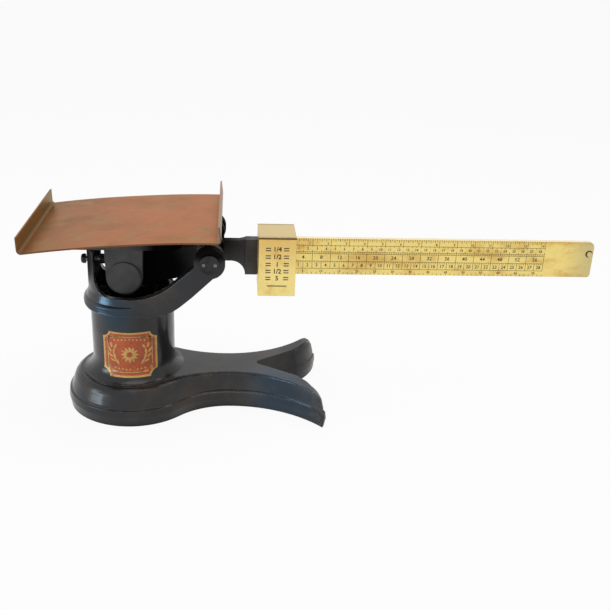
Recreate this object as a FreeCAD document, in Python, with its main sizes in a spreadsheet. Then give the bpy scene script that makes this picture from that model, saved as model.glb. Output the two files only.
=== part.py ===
import FreeCAD, Part
import math
import os
import re
import Sketcher
from FreeCAD import Placement, Rotation, Vector

# A beam scale for letters and parcels. Millimetres. The origin is where the column's
# axis meets the table, +X runs along the beam to its free end, +Z is up.
# The load side is at -X, the front, with the graduations, at -Y.

# Each driving size has one cell in the sheet: alias, value, what it is.
SIZES = [
    # Base and column
    ("column_radius", 23.8, "outside of the column"),
    ("column_wall", 3.8, "wall of the column"),
    ("column_top", 66.0, "height of the column's rim"),
    ("flare_width", 5.4, "how far the hollow curve at the column's foot spreads"),
    ("flare_height", 9.3, "how high it climbs"),
    ("base_height", 22.2, "height of the base's flat top"),
    ("base_ceiling", 3.2, "thickness under the flat top"),
    ("base_wall", 3.4, "wall of the hollow base at the table"),
    ("base_radius", 38.0, "round end of the base at the table"),
    ("crest_radius", 30.0, "round end of the base at its top"),
    ("waist_place", 56.0, "distance of the waist from the column's axis"),
    ("base_waist", 14.3, "half width of the waist at the table"),
    ("crest_waist", 12.4, "half width of the waist at the top"),
    ("tip_reach", 110.4, "reach of the foot tips at the table"),
    ("tip_spread", 39.9, "half spread of the foot tips at the table"),
    ("crest_tip_reach", 105.2, "reach of the foot tips at the top"),
    ("crest_tip_spread", 37.6, "half spread of the foot tips at the top"),
    ("tip_blunt", 2.2, "blunt end of a foot tip"),
    ("nose_reach", 99.5, "where the feet begin to round towards the tips, at the table"),
    ("crest_nose_reach", 95.5, "the same at the top"),
    ("nose_spread", 17.0, "half spread of the feet's inner sides there"),
    ("nose_radius", 42.0, "rounding of the feet's ends seen from above"),
    ("crotch_reach", 76.0, "distance of the crotch between the feet, at the table"),
    ("crest_crotch_reach", 73.2, "the same at the top"),
    ("crotch_half", 1.6, "half width of the crotch"),
    ("skirt_height", 9.4, "height of the base's lower step"),
    ("skirt_bulge", 0.9, "how far the lower step swells"),
    ("groove_depth", 0.7, "depth of the groove above the lower step"),
    ("groove_height", 1.9, "height of that groove"),
    ("bead_height", 17.2, "height where the upper step begins to round in"),
    ("shoulder_depth", 3.0, "how far the upper step leans in up to there"),
    ("bead_swell", 0.4, "how full the rounded edge is at its top"),
    ("crest_step", 1.3, "height of the small step between that edge and the flat top"),
    ("feet_root", 6.0, "solid iron before the crotch"),
    ("toe_round", 10.2, "rounding of the toes' tops, seen from the side"),
    ("toe_over", 5.75, "how far that rounding ends beyond the feet's tips at the top"),
    # Yoke
    ("collar_drop", 3.4, "how far the collar reaches down over the column"),
    ("collar_rise", 6.6, "low part of the yoke's rim above the column's rim"),
    ("collar_radius", 24.4, "outside of the yoke's wall"),
    ("collar_bead", 27.4, "outside of the collar's bead"),
    ("bead_rise", 3.0, "height of the widest place above the collar's lowest edge"),
    ("collar_wall", 2.8, "wall of the yoke"),
    ("seat_clearance", 0.15, "gap between pieces that fit into each other"),
    ("upright_rise", 3.0, "top of the rear upright above the fulcrum's knife edge"),
    ("upright_front", -19.0, "front edge of the upright, along the beam"),
    ("rim_round", 9.0, "hollow curve between the upright and the rim"),
    ("arm_thickness", 7.5, "thickness of the arms and lobes"),
    ("lobe_inside", 28.0, "half distance between the lobes"),
    ("lobe_radius", 8.4, "outside of the lobes"),
    ("arm_curve", 0.71, "share of the straight edges taken by the curve under an arm"),
    ("rim_curve", 1.17, "share of the straight edges taken by the curve on top of an arm"),
    ("arm_under", 7.2, "from the middle of a lobe to the line of the arm's lower edge"),
    ("arm_straight", 1.1, "straight piece of an arm beside its lobe"),
    ("arm_depth", 11.5, "depth of an arm square to its slope"),
    ("arm_slope", 44.0, "slope of the arms in degrees"),
    ("slot_width", 4.0, "width of the slot in the upright"),
    ("boss_reach", 17.0, "distance of the yoke's screws from the axis"),
    ("boss_half", 4.0, "half width of the bosses under those screws"),
    ("boss_height", 3.4, "height of the yoke's bosses"),
    ("column_boss_drop", 12.0, "height of the column's inner bosses"),
    ("cap_radius", 5.3, "cover disc of a lobe"),
    ("cap_thickness", 1.2, "thickness of a cover disc"),
    ("cap_screw_spread", 3.1, "half distance of the disc's two screws"),
    ("cap_screw_radius", 0.6, "shank of a disc screw"),
    ("cap_screw_head", 0.95, "head of a disc screw"),
    ("cap_screw_proud", 0.35, "how far its head stands out"),
    ("cap_screw_length", 2.8, "length of a disc screw under its head"),
    # Pivots
    ("load_place", -2.0, "place of the load knives along the beam, from the column's axis"),
    ("load_arm", 47.5, "distance from the load knives to the fulcrum, along the beam"),
    ("fulcrum_rise", 28.0, "height of the fulcrum's knife edge above the column's rim"),
    ("load_drop", 7.0, "how far the load knives lie below the fulcrum"),
    ("knife_depth", 4.0, "from the middle of a knife bar to its edge"),
    ("knife_half", 2.2, "half width of a knife bar"),
    ("knife_back", 3.0, "from the middle of a knife bar to its back"),
    ("knife_gap", 0.03, "play between a knife edge and its bearing"),
    ("bearing_half", 3.6, "half width of a bearing block"),
    ("bearing_depth", 2.0, "bearing block beyond the knife edge"),
    ("vee_depth", 1.5, "depth of the V"),
    ("vee_half", 2.6, "half width of the V at its mouth"),
    ("socket_depth", 5.5, "depth of a lobe's bearing socket"),
    ("end_play", 0.5, "free space past the end of a knife bar"),
    ("tip_angle", 2.5, "how far the beam tips each way, in degrees"),
    # Beam
    ("hub_radius", 7.5, "hub round the fulcrum knife"),
    ("hub_gap", 1.6, "free space between the hub and a lobe"),
    ("fork_outside", 12.0, "half width of the fork"),
    ("fork_inside", 7.0, "half width between the fork's arms"),
    ("fork_nose", 7.2, "radius round the load knives"),
    ("belly_place", 17.5, "deepest corner of the fork's underside, along the beam from the fulcrum"),
    ("belly_depth", 12.5, "how far it lies below the fulcrum's knife edge"),
    ("bridge_reach", 8.6, "from the load knives to the middle of the fork's closed end"),
    ("bridge_half", 1.6, "half thickness of the closed end"),
    ("bridge_depth", 8.0, "height of the closed end"),
    ("shank_over", 9.3, "top of the shank above the bar's middle"),
    ("shank_under", 3.0, "underside of the shank below the bar's middle"),
    ("root_over", 2.8, "top of the shank above the middle of the hub, where it joins the hub"),
    ("root_under", 9.5, "underside of the shank below the middle of the hub, there"),
    ("shank_half", 2.3, "half thickness of the shank"),
    ("socket_place", 65.0, "where the socket block begins"),
    ("socket_end", 72.1, "where the socket block ends"),
    ("socket_half", 3.3, "half thickness of the socket block"),
    ("bar_height", 22.0, "height of the brass bar"),
    ("bar_drop", 2.5, "how far the bar's middle lies below the fulcrum's knife edge"),
    ("bar_half", 1.5, "half thickness of the bar"),
    ("end_round_top", 3.4, "rounding of the bar's upper corner"),
    ("end_round_low", 2.0, "rounding of the bar's lower corner"),
    ("bar_end_margin", 2.5, "bar beyond the middle of the stop pin"),
    ("socket_lip", 0.9, "how much lower than the bar the socket block is at its top"),
    ("tang_half", 6.5, "half height of the bar's tang"),
    ("tang_start", 65.8, "inner end of the tang"),
    ("rivet_radius", 1.4, "rivets of the tang"),
    ("rivet_spacing", 8.0, "distance between the rivets"),
    ("rivet_place", 68.6, "right-hand rivet, along the beam"),
    ("pin_radius", 1.6, "stop pin"),
    ("pin_rise", 3.6, "height of the stop pin above the bar's middle"),
    ("pin_proud", 1.6, "how far the stop pin stands out each side"),
    ("rod_radius", 1.5, "tail rod"),
    ("rod_drop", 6.0, "how far the tail rod lies below the fulcrum's knife edge"),
    ("knob_radius", 2.75, "knob at the rod's end"),
    ("knob_length", 2.6, "length of the knob"),
    ("knob_round", 1.2, "rounding of the knob's end"),
    ("knob_gap", 0.9, "free space between the knob and the yoke"),
    ("nut_radius", 2.9, "knurled balance nut"),
    ("nut_length", 3.9, "length of the balance nut"),
    ("nut_travel", 1.0, "how far the nut can be moved each way"),
    ("nut_knurls", 16, "grooves round the nut"),
    ("knurl_radius", 0.35, "radius of a groove"),
    ("run_clearance", 0.05, "radial play of pins and threads"),
    # Poise
    ("poise_length", 21.2, "length of the poise along the bar"),
    ("poise_half", 13.0, "half thickness of the poise, front to back"),
    ("poise_under", 9.3, "how far the poise reaches down below the bar"),
    ("poise_over", 3.7, "how far it reaches up above the bar"),
    ("poise_start_gap", 0.3, "gap between the poise at zero and the socket"),
    ("poise_travel", 173.4, "how far the poise slides"),
    ("poise_plate", 1.3, "thickness of the front and rear faces"),
    ("poise_sheet", 1.0, "thickness of the poise's sheet"),
    ("poise_side_gap", 0.3, "gap between the bar's faces and the poise"),
    ("poise_under_gap", 0.1, "gap under the bar"),
    ("spring_gap", 0.08, "gap between the spring's foot and the bar"),
    ("spring_sheet", 0.3, "thickness of the leaf spring"),
    # Carrier and pan
    ("plate_rise", 9.5, "underside of the carrier's plate above the fulcrum's knife edge"),
    ("plate_left", -35.0, "left edge of the plate"),
    ("plate_right", 30.0, "right edge of the plate"),
    ("plate_half", 29.9, "half width of the plate"),
    ("plate_corner", 8.0, "rounding of the plate's corners"),
    ("leg_inside", 13.0, "half distance between the legs"),
    ("leg_thickness", 4.2, "thickness of a leg"),
    ("leg_half", 10.6, "half width of a leg at the plate"),
    ("leg_socket", 3.6, "depth of a leg's bearing socket"),
    ("disc_radius", 10.0, "round lower end of a leg"),
    ("disc_proud", 0.8, "how far the raised disc stands out"),
    ("disc_rim", 0.9, "how much smaller the raised disc is"),
    ("hub_half", 6.0, "radius of the boss over the stem"),
    ("hub_drop", 8.0, "how far the boss reaches down"),
    ("stem_radius", 3.0, "stem in the column"),
    ("stem_grip", 7.0, "how far the stem is screwed into the boss"),
    ("nut_flats", 9.0, "width of the lock nut across its flats"),
    ("nut_height", 2.6, "height of the lock nut"),
    ("clevis_half", 4.5, "half width of the stem's fork"),
    ("clevis_height", 9.0, "height of the stem's fork above its pin"),
    ("clevis_grip", 5.5, "how far the stem is screwed into its fork"),
    ("pan_length", 102.4, "length of the pan's floor"),
    ("pan_half", 46.5, "half width of the pan"),
    ("pan_rise", 16.5, "ends of the pan's floor above the fulcrum's knife edge, before it leans"),
    ("pan_sheet", 0.9, "thickness of the pan's sheet"),
    ("pan_tilt", 4.0, "how far the pan's left end hangs down, in degrees"),
    ("pan_crown", 1.6, "how far the pan's floor rises towards its middle"),
    ("pan_flat", 6.0, "half length of the flat strip in its middle"),
    ("flange_height", 8.4, "height of the pan's turned-up ends"),
    ("flange_lean", -0.3, "how far they lean outwards"),
    ("bend_radius", 1.4, "inside of the bends"),
    ("pan_rivet_radius", 1.8, "rivets of the pan"),
    ("pan_rivet_length", 3.6, "length of a rivet from the pan's floor down"),
    ("plate_height", 14.0, "height of the carrier's plate before its top is shaped"),
    ("pan_rivet_reach", 21.0, "place of the rivets along the beam"),
    ("pan_rivet_spread", 18.0, "place of the rivets across the beam"),
    # Check link
    ("anchor_height", 14.0, "height of the check link's fixed pin"),
    ("link_pin_radius", 1.5, "pins of the check link"),
    ("link_half", 1.5, "half thickness of the check link"),
    ("link_eye", 3.2, "radius of the check link's eyes"),
    ("link_width", 4.4, "width of the check link between its eyes"),
    ("link_side_gap", 0.3, "gap beside the check link"),
    ("open_clearance", 0.1, "radial play of the check link's pin at the stem"),
    ("ear_thickness", 2.0, "thickness of the bracket's ears"),
    ("ear_half", 3.4, "half width of an ear"),
    ("bracket_half", 9.2, "half length of the bracket's plate, front to back"),
    ("bracket_plate", 1.5, "thickness of the bracket's plate"),
    ("screw_spread", 6.6, "place of the bracket's screws, front to back"),
    ("screw_radius", 1.5, "shank of the bracket's and the yoke's screws"),
    ("screw_head", 2.4, "head of those screws"),
    ("screw_head_height", 1.7, "height of the head"),
    ("bracket_screw_grip", 2.4, "depth of the bracket's screws in the base"),
    ("yoke_screw_grip", 8.0, "depth of the yoke's screws in the column"),
    ("pin_head", 0.8, "how far a pin stands out past what holds it"),
]

# Places and heights that follow from the driving sizes, in the same sheet
FOLLOWING = [
    ("fulcrum_place", "load_place + load_arm", "the fulcrum, along the beam from the column's axis"),
    ("bridge_place", "load_place - bridge_reach", "middle of the fork's closed end, along the beam"),
    ("collar_bottom", "column_top - collar_drop", "lowest edge of the collar"),
    ("collar_top", "column_top + collar_rise", "low part of the yoke's rim"),
    ("fulcrum_height", "column_top + fulcrum_rise", "the fulcrum's knife edge"),
    ("upright_top", "fulcrum_height + upright_rise", "top of the rear upright"),
    ("rod_height", "fulcrum_height - rod_drop", "the tail rod"),
    ("bar_middle", "fulcrum_height - bar_drop", "the bar's middle"),
    ("shank_top", "bar_middle + shank_over", "top of the shank at its socket"),
    ("shank_bottom", "bar_middle - shank_under", "underside of the shank at its socket"),
    ("poise_bottom", "bar_middle - bar_height / 2 - poise_under", "underside of the poise"),
    ("poise_top", "bar_middle + bar_height / 2 + poise_over", "top of the poise"),
    ("plate_bottom", "fulcrum_height + plate_rise", "underside of the carrier's plate"),
    ("pan_height", "fulcrum_height + pan_rise", "the pan's own origin over the column"),
]

# Places that several pieces share, worked out from the driving sizes
LOBE_HEIGHT = "(fulcrum_height + knife_depth)"
LOAD_PLACE = "load_place"
LOAD_HEIGHT = "(fulcrum_height - load_drop)"
DISC_HEIGHT = "(fulcrum_height - load_drop - knife_depth)"
STEM_PIN_HEIGHT = "(anchor_height - load_drop)"
BAR_TOP = "(bar_middle + bar_height / 2)"
BAR_FOOT = "(bar_middle - bar_height / 2)"
POISE_LEFT = "(socket_end + poise_start_gap)"
POISE_RIGHT = f"({POISE_LEFT} + poise_length)"
STOP_PLACE = f"({POISE_RIGHT} + poise_travel + poise_start_gap + pin_radius)"
BAR_END = f"({STOP_PLACE} + bar_end_margin)"
LOBE_OUTSIDE = "(lobe_inside + arm_thickness)"
LEG_OUTSIDE = "(leg_inside + leg_thickness)"
HUB_HALF = "(lobe_inside - hub_gap)"
KNIFE_HALF_LENGTH = "(lobe_inside + socket_depth - end_play)"
TAIL_END = "(0 - collar_radius - knob_gap)"
SLOT_HALF = "(rod_radius + (fulcrum_place + collar_radius) * sin(tip_angle) + seat_clearance)"
NUT_LEFT = "(bridge_place - bridge_half - nut_travel - seat_clearance - nut_length)"
CEILING = "(base_height - base_ceiling)"
BRACKET_FOOT = f"({CEILING} - bracket_plate)"


def formula(text):
    """Puts the sheet's name before each alias of an expression."""
    return re.sub(r"\b[a-z]+(?:_[a-z]+)+\b", lambda word: "Sizes." + word.group(0), str(text))


def number(text):
    """Value of an expression now, for the first drawing of a line."""
    return float(SHEET.evalExpression(formula(text)))


def fill_sheet(document):
    sheet = document.addObject("Spreadsheet::Sheet", "Sizes")
    cells = [(alias, str(value), note) for alias, value, note in SIZES]
    cells += [(alias, "=" + text, note) for alias, text, note in FOLLOWING]
    for row, (alias, content, note) in enumerate(cells, start=1):
        sheet.set(f"A{row}", note)
        sheet.set(f"B{row}", content)
        sheet.setAlias(f"B{row}", alias)
    document.recompute()
    return sheet


def new_body(label):
    body = DOCUMENT.addObject("PartDesign::Body", label)
    body.Label = label
    body.AllowCompound = True
    PIECES.append(body)
    return body


def origin_part(body, role):
    return next(item for item in body.Origin.OriginFeatures if item.Role == role)


def new_sketch(body, name, plane, offset="0"):
    """Sketch on a plane of the body. XY looks down, XZ from the front, YZ from the right."""
    sketch = body.newObject("Sketcher::SketchObject", f"{body.Label}_{name}")
    sketch.AttachmentSupport = [(origin_part(body, plane + "_Plane"), "")]
    sketch.MapMode = "FlatFace"
    sketch.setExpression("AttachmentOffset.Base.z", formula(offset))
    return sketch


def hold_point(sketch, piece, end, x, y):
    """Dimensions a point of a sketch from the sketch's origin."""
    for kind, axis, text in (("DistanceX", -2, x), ("DistanceY", -1, y)):
        if str(text) == "0":
            sketch.addConstraint(Sketcher.Constraint("PointOnObject", piece, end, axis))
            continue
        index = sketch.addConstraint(Sketcher.Constraint(kind, -1, 1, piece, end, number(text)))
        sketch.setExpression(f"Constraints[{index}]", formula(text))


def hold_radius(sketch, piece, radius):
    index = sketch.addConstraint(Sketcher.Constraint("Radius", piece, number(radius)))
    sketch.setExpression(f"Constraints[{index}]", formula(radius))


def arc_middle(start, end, radius, turn):
    """Middle of the arc from start to end; turn is 1 where it bends left, -1 right."""
    chord = end - start
    half = chord.Length / 2
    sagitta = radius - math.sqrt(max(radius * radius - half * half, 0.0))
    left = Vector(-chord.y, chord.x, 0).normalize()
    return (start + end) / 2 - left * (turn * sagitta)


def draw(sketch, corners):
    """Closed outline. A corner is (x, y) at the end of a straight run, or
    (x, y, radius, turn) at the end of an arc that starts at the corner before."""
    spots = [Vector(number(corner[0]), number(corner[1]), 0) for corner in corners]
    ends = []
    for place, corner in enumerate(corners):
        start, end = spots[place - 1], spots[place]
        if len(corner) == 2:
            piece = sketch.addGeometry(Part.LineSegment(start, end))
            ends.append((piece, 1, 2))
            continue
        middle = arc_middle(start, end, number(corner[2]), corner[3])
        piece = sketch.addGeometry(Part.Arc(start, middle, end))
        hold_radius(sketch, piece, corner[2])
        ends.append((piece, 1, 2) if corner[3] > 0 else (piece, 2, 1))
    for place, (piece, first, last) in enumerate(ends):
        before, ignored, before_last = ends[place - 1]
        sketch.addConstraint(Sketcher.Constraint("Coincident", before, before_last, piece, first))
    for (piece, first, last), corner in zip(ends, corners):
        hold_point(sketch, piece, last, corner[0], corner[1])


def draw_circle(sketch, x, y, radius):
    circle = Part.Circle(Vector(number(x), number(y), 0), Vector(0, 0, 1), number(radius))
    piece = sketch.addGeometry(circle)
    hold_point(sketch, piece, 3, x, y)
    hold_radius(sketch, piece, radius)


def box_corners(left, low, right, high):
    return [(left, low), (right, low), (right, high), (left, high)]


def extrude(kind, sketch, length=None, middle=False, back=False):
    """Pad or Pocket of a sketch. With no length it goes through everything, both ways."""
    body = sketch.getParentGeoFeatureGroup()
    feature = body.newObject("PartDesign::" + kind, sketch.Name + "_" + kind.lower())
    feature.Profile = sketch
    if length is None:
        feature.Type = "ThroughAll"
        feature.SideType = "Symmetric"
    else:
        feature.setExpression("Length", formula(length))
        feature.SideType = "Symmetric" if middle else "One side"
        feature.Reversed = back
    DOCUMENT.recompute()
    return feature


def pad(sketch, length, middle=False, back=False):
    return extrude("Pad", sketch, length, middle, back)


def pocket(sketch, length=None, middle=False, back=False):
    """Cuts the sketch out, and stops the build if it removed nothing."""
    body = sketch.getParentGeoFeatureGroup()
    before = body.Shape.Volume
    feature = extrude("Pocket", sketch, length, middle, back)
    if not body.Shape.Volume < before - 0.01:
        raise RuntimeError(sketch.Name + " cuts nothing")
    return feature


def revolve(sketch, axis, kind="Revolution"):
    body = sketch.getParentGeoFeatureGroup()
    feature = body.newObject("PartDesign::" + kind, sketch.Name + "_turned")
    feature.Profile = sketch
    feature.ReferenceAxis = (sketch, [axis])
    feature.Angle = 360
    DOCUMENT.recompute()
    return feature


def loft(kind, sketches):
    body = sketches[0].getParentGeoFeatureGroup()
    feature = body.newObject("PartDesign::" + kind, body.Label + "_" + kind.lower())
    feature.Profile = sketches[0]
    feature.Sections = sketches[1:]
    feature.Ruled = True
    DOCUMENT.recompute()
    return feature


def fillet(body, edges, radius):
    """Rounds edges of the body's last feature, given by name."""
    base = body.Tip
    feature = body.newObject("PartDesign::Fillet", body.Label + "_rounding")
    feature.Base = (base, edges)
    feature.setExpression("Radius", formula(radius))
    body.Tip = feature
    DOCUMENT.recompute()
    return feature


def primitive(kind, label, sizes, place, direction=None):
    """Part primitive bound to the sheet; it stands on its placement, along direction."""
    piece = DOCUMENT.addObject("Part::" + kind, label)
    for name, text in sizes.items():
        piece.setExpression(name, formula(text))
    if direction is not None:
        piece.Placement.Rotation = Rotation(Vector(0, 0, 1), Vector(*direction))
    for axis, text in zip("xyz", place):
        piece.setExpression("Placement.Base." + axis, formula(text))
    return piece


def rod(label, radius, length, place, direction):
    return primitive("Cylinder", label, {"Radius": radius, "Height": length}, place, direction)


def join(label, pieces, kind="MultiFuse"):
    """One object from several that touch, or with kind Compound a group of separate solids."""
    whole = DOCUMENT.addObject("Part::" + kind, label)
    if kind == "Compound":
        whole.Links = pieces
    else:
        whole.Shapes = pieces
    return whole


def keep(piece, label):
    """Marks an object as a finished piece, and names it."""
    piece.Label = label
    PIECES.append(piece)
    return piece


def between(low, high, share):
    """Expression for a size that goes from low to high as share goes from 0 to 1."""
    return f"({low} + ({share}) * ({high} - {low}))"


def base_outline(sketch, share, inset="0"):
    """Outline of the base: round end, waist and two feet. share is 0 at the table and 1 at the
    top; inset draws the outer sides in."""
    radius = f"({between('base_radius', 'crest_radius', share)} - {inset})"
    waist = f"({between('base_waist', 'crest_waist', share)} - {inset})"
    reach = f"({between('tip_reach', 'crest_tip_reach', share)} - {inset})"
    spread = f"({between('tip_spread', 'crest_tip_spread', share)} - {inset})"
    nose = between("nose_reach", "crest_nose_reach", share)
    crotch = between("crotch_reach", "crest_crotch_reach", share)
    touch_x, touch_y, hollow = waist_curve(radius, waist)
    # Foot curve, level at the waist, through the tip
    foot = f"((({reach} - waist_place)^2 + ({spread} - {waist})^2) / (2 * ({spread} - {waist})))"
    blunt_x = f"({reach} + tip_blunt / 2)"
    draw(sketch, [
        (touch_x, touch_y, radius, -1),
        ("waist_place", waist, hollow, 1),
        (reach, spread, foot, 1),
        (blunt_x, f"({spread} - tip_blunt)"),
        (nose, "nose_spread", "nose_radius", -1),
        (crotch, "crotch_half"),
        (crotch, "(0 - crotch_half)"),
        (nose, "(0 - nose_spread)"),
        (blunt_x, f"(tip_blunt - {spread})", "nose_radius", -1),
        (reach, f"(0 - {spread})"),
        ("waist_place", f"(0 - {waist})", foot, 1),
        (touch_x, f"(0 - {touch_y})", hollow, 1),
        (f"(0 - {radius})", "0", radius, -1),
    ])


def waist_curve(radius, waist):
    """Curve tangent to a round end and level at the waist: where it starts, and its radius."""
    hollow = f"((waist_place^2 + {waist}^2 - {radius}^2) / (2 * ({radius} - {waist})))"
    touch = f"({radius} / ({radius} + {hollow}))"
    return f"(waist_place * {touch})", f"(({waist} + {hollow}) * {touch})", hollow


def hollow_outline(sketch, share):
    """Inside of the base, which ends before the feet part."""
    radius = f"({between('base_radius', 'crest_radius', share)} - base_wall)"
    waist = f"({between('base_waist', 'crest_waist', share)} - base_wall)"
    touch_x, touch_y, hollow = waist_curve(radius, waist)
    draw(sketch, [
        (touch_x, touch_y, radius, -1),
        ("waist_place", waist, hollow, 1),
        ("(crest_crotch_reach - feet_root)", waist),
        ("(crest_crotch_reach - feet_root)", f"(0 - {waist})"),
        ("waist_place", f"(0 - {waist})"),
        (touch_x, f"(0 - {touch_y})", hollow, 1),
        (f"(0 - {radius})", "0", radius, -1),
    ])


def base_casting():
    body = new_body("base_casting")
    # Height, share of the way to the top's outline, and inset of each level of the moulding
    lean = "(shoulder_depth / (base_radius - crest_radius))"
    rise = "(base_height - crest_step - bead_height)"
    rest = f"(0.85 - {lean})"
    levels = [
        ("0", "0", "0"),
        ("(skirt_height * 0.6)", "0", "(0 - skirt_bulge)"),
        ("skirt_height", "0", "(0 - skirt_bulge / 2)"),
        ("(skirt_height + groove_height / 3)", "0", "groove_depth"),
        ("(skirt_height + groove_height)", f"({lean} / 3)", "0"),
        ("bead_height", lean, "0"),
        (f"(bead_height + {rise} * 0.45)", f"({lean} + {rest} * 0.3)", "(0 - bead_swell * 0.5)"),
        (f"(bead_height + {rise} * 0.8)", f"({lean} + {rest} * 0.66)", "(0 - bead_swell * 0.8)"),
        (f"(bead_height + {rise})", "0.85", "(0 - bead_swell)"),
        (f"(bead_height + {rise} * 1.01)", "1", "0"),
        ("base_height", "1", "0"),
    ]
    sections = []
    for place, (height, share, inset) in enumerate(levels):
        sketch = new_sketch(body, f"level_{place}", "XY", height)
        base_outline(sketch, share, inset)
        sections.append(sketch)
    loft("AdditiveLoft", sections)

    toes = new_sketch(body, "toes", "XZ")
    toe_end = "(crest_tip_reach + toe_over)"
    draw(toes, [
        (f"({toe_end} - toe_round)", "(base_height * 2)"),
        ("(tip_reach * 2)", "(base_height * 2)"),
        ("(tip_reach * 2)", "(base_height - toe_round)"),
        (toe_end, "(base_height - toe_round)"),
        (f"({toe_end} - toe_round)", "base_height", "toe_round", 1),
    ])
    pocket(toes)

    table = new_sketch(body, "hollow_at_table", "XY")
    hollow_outline(table, "0")
    ceiling = new_sketch(body, "hollow_at_ceiling", "XY", CEILING)
    hollow_outline(ceiling, "0.75")
    loft("SubtractiveLoft", [table, ceiling])

    # Column with the hollow curve at its foot
    flare = "((flare_width^2 + flare_height^2) / (2 * flare_width))"
    section = new_sketch(body, "column", "XZ")
    draw(section, [
        ("0", f"({CEILING} + base_ceiling / 2)"),
        ("(column_radius + flare_width)", f"({CEILING} + base_ceiling / 2)"),
        ("(column_radius + flare_width)", "base_height"),
        ("column_radius", "(base_height + flare_height)", flare, -1),
        ("column_radius", "column_top"),
        ("0", "column_top"),
    ])
    revolve(section, "V_Axis")
    bore = new_sketch(body, "bore", "XY")
    draw_circle(bore, "0", "0", "(column_radius - column_wall)")
    pocket(bore)

    # Bosses inside the rim, for the yoke's screws
    bosses = new_sketch(body, "bosses", "XY", "column_top")
    screw_holes = new_sketch(body, "boss_holes", "XY", "column_top")
    for side in ("1", "(0 - 1)"):
        near = f"({side} * (boss_reach - boss_half))"
        far = f"({side} * (column_radius - column_wall / 2))"
        left, right = (near, far) if side == "1" else (far, near)
        draw(bosses, box_corners(left, "(0 - boss_half)", right, "boss_half"))
        draw_circle(screw_holes, f"({side} * boss_reach)", "0", "screw_radius")
    pad(bosses, "column_boss_drop", back=True)
    pocket(screw_holes, "yoke_screw_grip")

    bracket_holes = new_sketch(body, "bracket_holes", "XY", CEILING)
    for side in ("", "0 - "):
        draw_circle(bracket_holes, "fulcrum_place", f"({side}screw_spread)", "screw_radius")
    pocket(bracket_holes, "bracket_screw_grip", back=True)
    return body


def tangent_spot(radius, x, y, side):
    """Where a line from (x, y) touches a circle round the origin, on the side given by 1 or -1."""
    square = f"({x}^2 + {y}^2)"
    along = f"({radius}^2 / {square})"
    across = f"({side} * {radius} * sqrt({square} - {radius}^2) / {square})"
    return f"({along} * {x} - {across} * {y})", f"({along} * {y} + {across} * {x})"


def yoke_plan(sketch):
    """The collar's open ring and the two arms, seen from above."""
    inside = "(collar_radius - collar_wall)"
    start = "(fulcrum_place - lobe_radius - arm_straight)"
    end = "(fulcrum_place + lobe_radius)"
    outer_x, outer_y = tangent_spot("collar_radius", start, LOBE_OUTSIDE, "1")
    inner_x, inner_y = tangent_spot(inside, start, "lobe_inside", "1")
    draw(sketch, [
        (outer_x, f"(0 - {outer_y})", "collar_radius", 1),
        (start, f"(0 - {LOBE_OUTSIDE})"),
        (end, f"(0 - {LOBE_OUTSIDE})"),
        (end, "(0 - lobe_inside)"),
        (start, "(0 - lobe_inside)"),
        (inner_x, f"(0 - {inner_y})"),
        (f"(0 - {inside})", "0", inside, -1),
        (inner_x, inner_y, inside, -1),
        (start, "lobe_inside"),
        (end, "lobe_inside"),
        (end, LOBE_OUTSIDE),
        (start, LOBE_OUTSIDE),
        (outer_x, outer_y),
        ("(0 - collar_radius)", "0", "collar_radius", 1),
    ])


def corner_run(share, first, second):
    """Tangent length of a rounded corner between two straight edges of these lengths."""
    return f"({share} * {first} * {second} / ({first} + {second}))"


def yoke_side(sketch):
    """The yoke's outline from the front: upright, rim, sloping arms and lobes."""
    # Distances are measured square to the slope and along it, from the middle of the lobes
    low_along = "sqrt(lobe_radius^2 - arm_under^2)"
    high_along = "sqrt(lobe_radius^2 - (arm_depth - arm_under)^2)"
    low_x = f"(fulcrum_place + arm_under * sin(arm_slope) - {low_along} * cos(arm_slope))"
    low_z = f"({LOBE_HEIGHT} - arm_under * cos(arm_slope) - {low_along} * sin(arm_slope))"
    over = "(arm_depth - arm_under)"
    high_x = f"(fulcrum_place - {over} * sin(arm_slope) - {high_along} * cos(arm_slope))"
    high_z = f"({LOBE_HEIGHT} + {over} * cos(arm_slope) - {high_along} * sin(arm_slope))"
    # Where the two sloping edges would meet the collar's lowest edge and its rim
    low_corner = f"({low_x} - ({low_z} - collar_bottom) / tan(arm_slope))"
    high_corner = f"({high_x} - ({high_z} - collar_top) / tan(arm_slope))"
    wide = "(collar_radius + collar_wall)"
    # Length of each corner's tangents, from the two straight edges that meet there
    low_edges = (f"({low_corner} + {wide})", f"(({low_z} - collar_bottom) / sin(arm_slope))")
    high_edges = (f"({high_corner} - upright_front - rim_round)",
                  f"(({high_z} - collar_top) / sin(arm_slope))")
    low_run = corner_run("arm_curve", *low_edges)
    high_run = corner_run("rim_curve", *high_edges)
    draw(sketch, [
        (f"(0 - {wide})", "collar_bottom"),
        (f"({low_corner} - {low_run})", "collar_bottom"),
        (f"({low_corner} + {low_run} * cos(arm_slope))",
         f"(collar_bottom + {low_run} * sin(arm_slope))", f"({low_run} / tan(arm_slope / 2))", 1),
        (low_x, low_z),
        ("(fulcrum_place + lobe_radius)", LOBE_HEIGHT, "lobe_radius", 1),
        ("fulcrum_place", f"({LOBE_HEIGHT} + lobe_radius)", "lobe_radius", 1),
        (high_x, high_z, "lobe_radius", 1),
        (f"({high_corner} + {high_run} * cos(arm_slope))",
         f"(collar_top + {high_run} * sin(arm_slope))"),
        (f"({high_corner} - {high_run})", "collar_top", f"({high_run} / tan(arm_slope / 2))", -1),
        ("(upright_front + rim_round)", "collar_top"),
        ("upright_front", "(collar_top + rim_round)", "rim_round", -1),
        ("upright_front", "upright_top"),
        (f"(0 - {wide})", "upright_top"),
    ])


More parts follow.
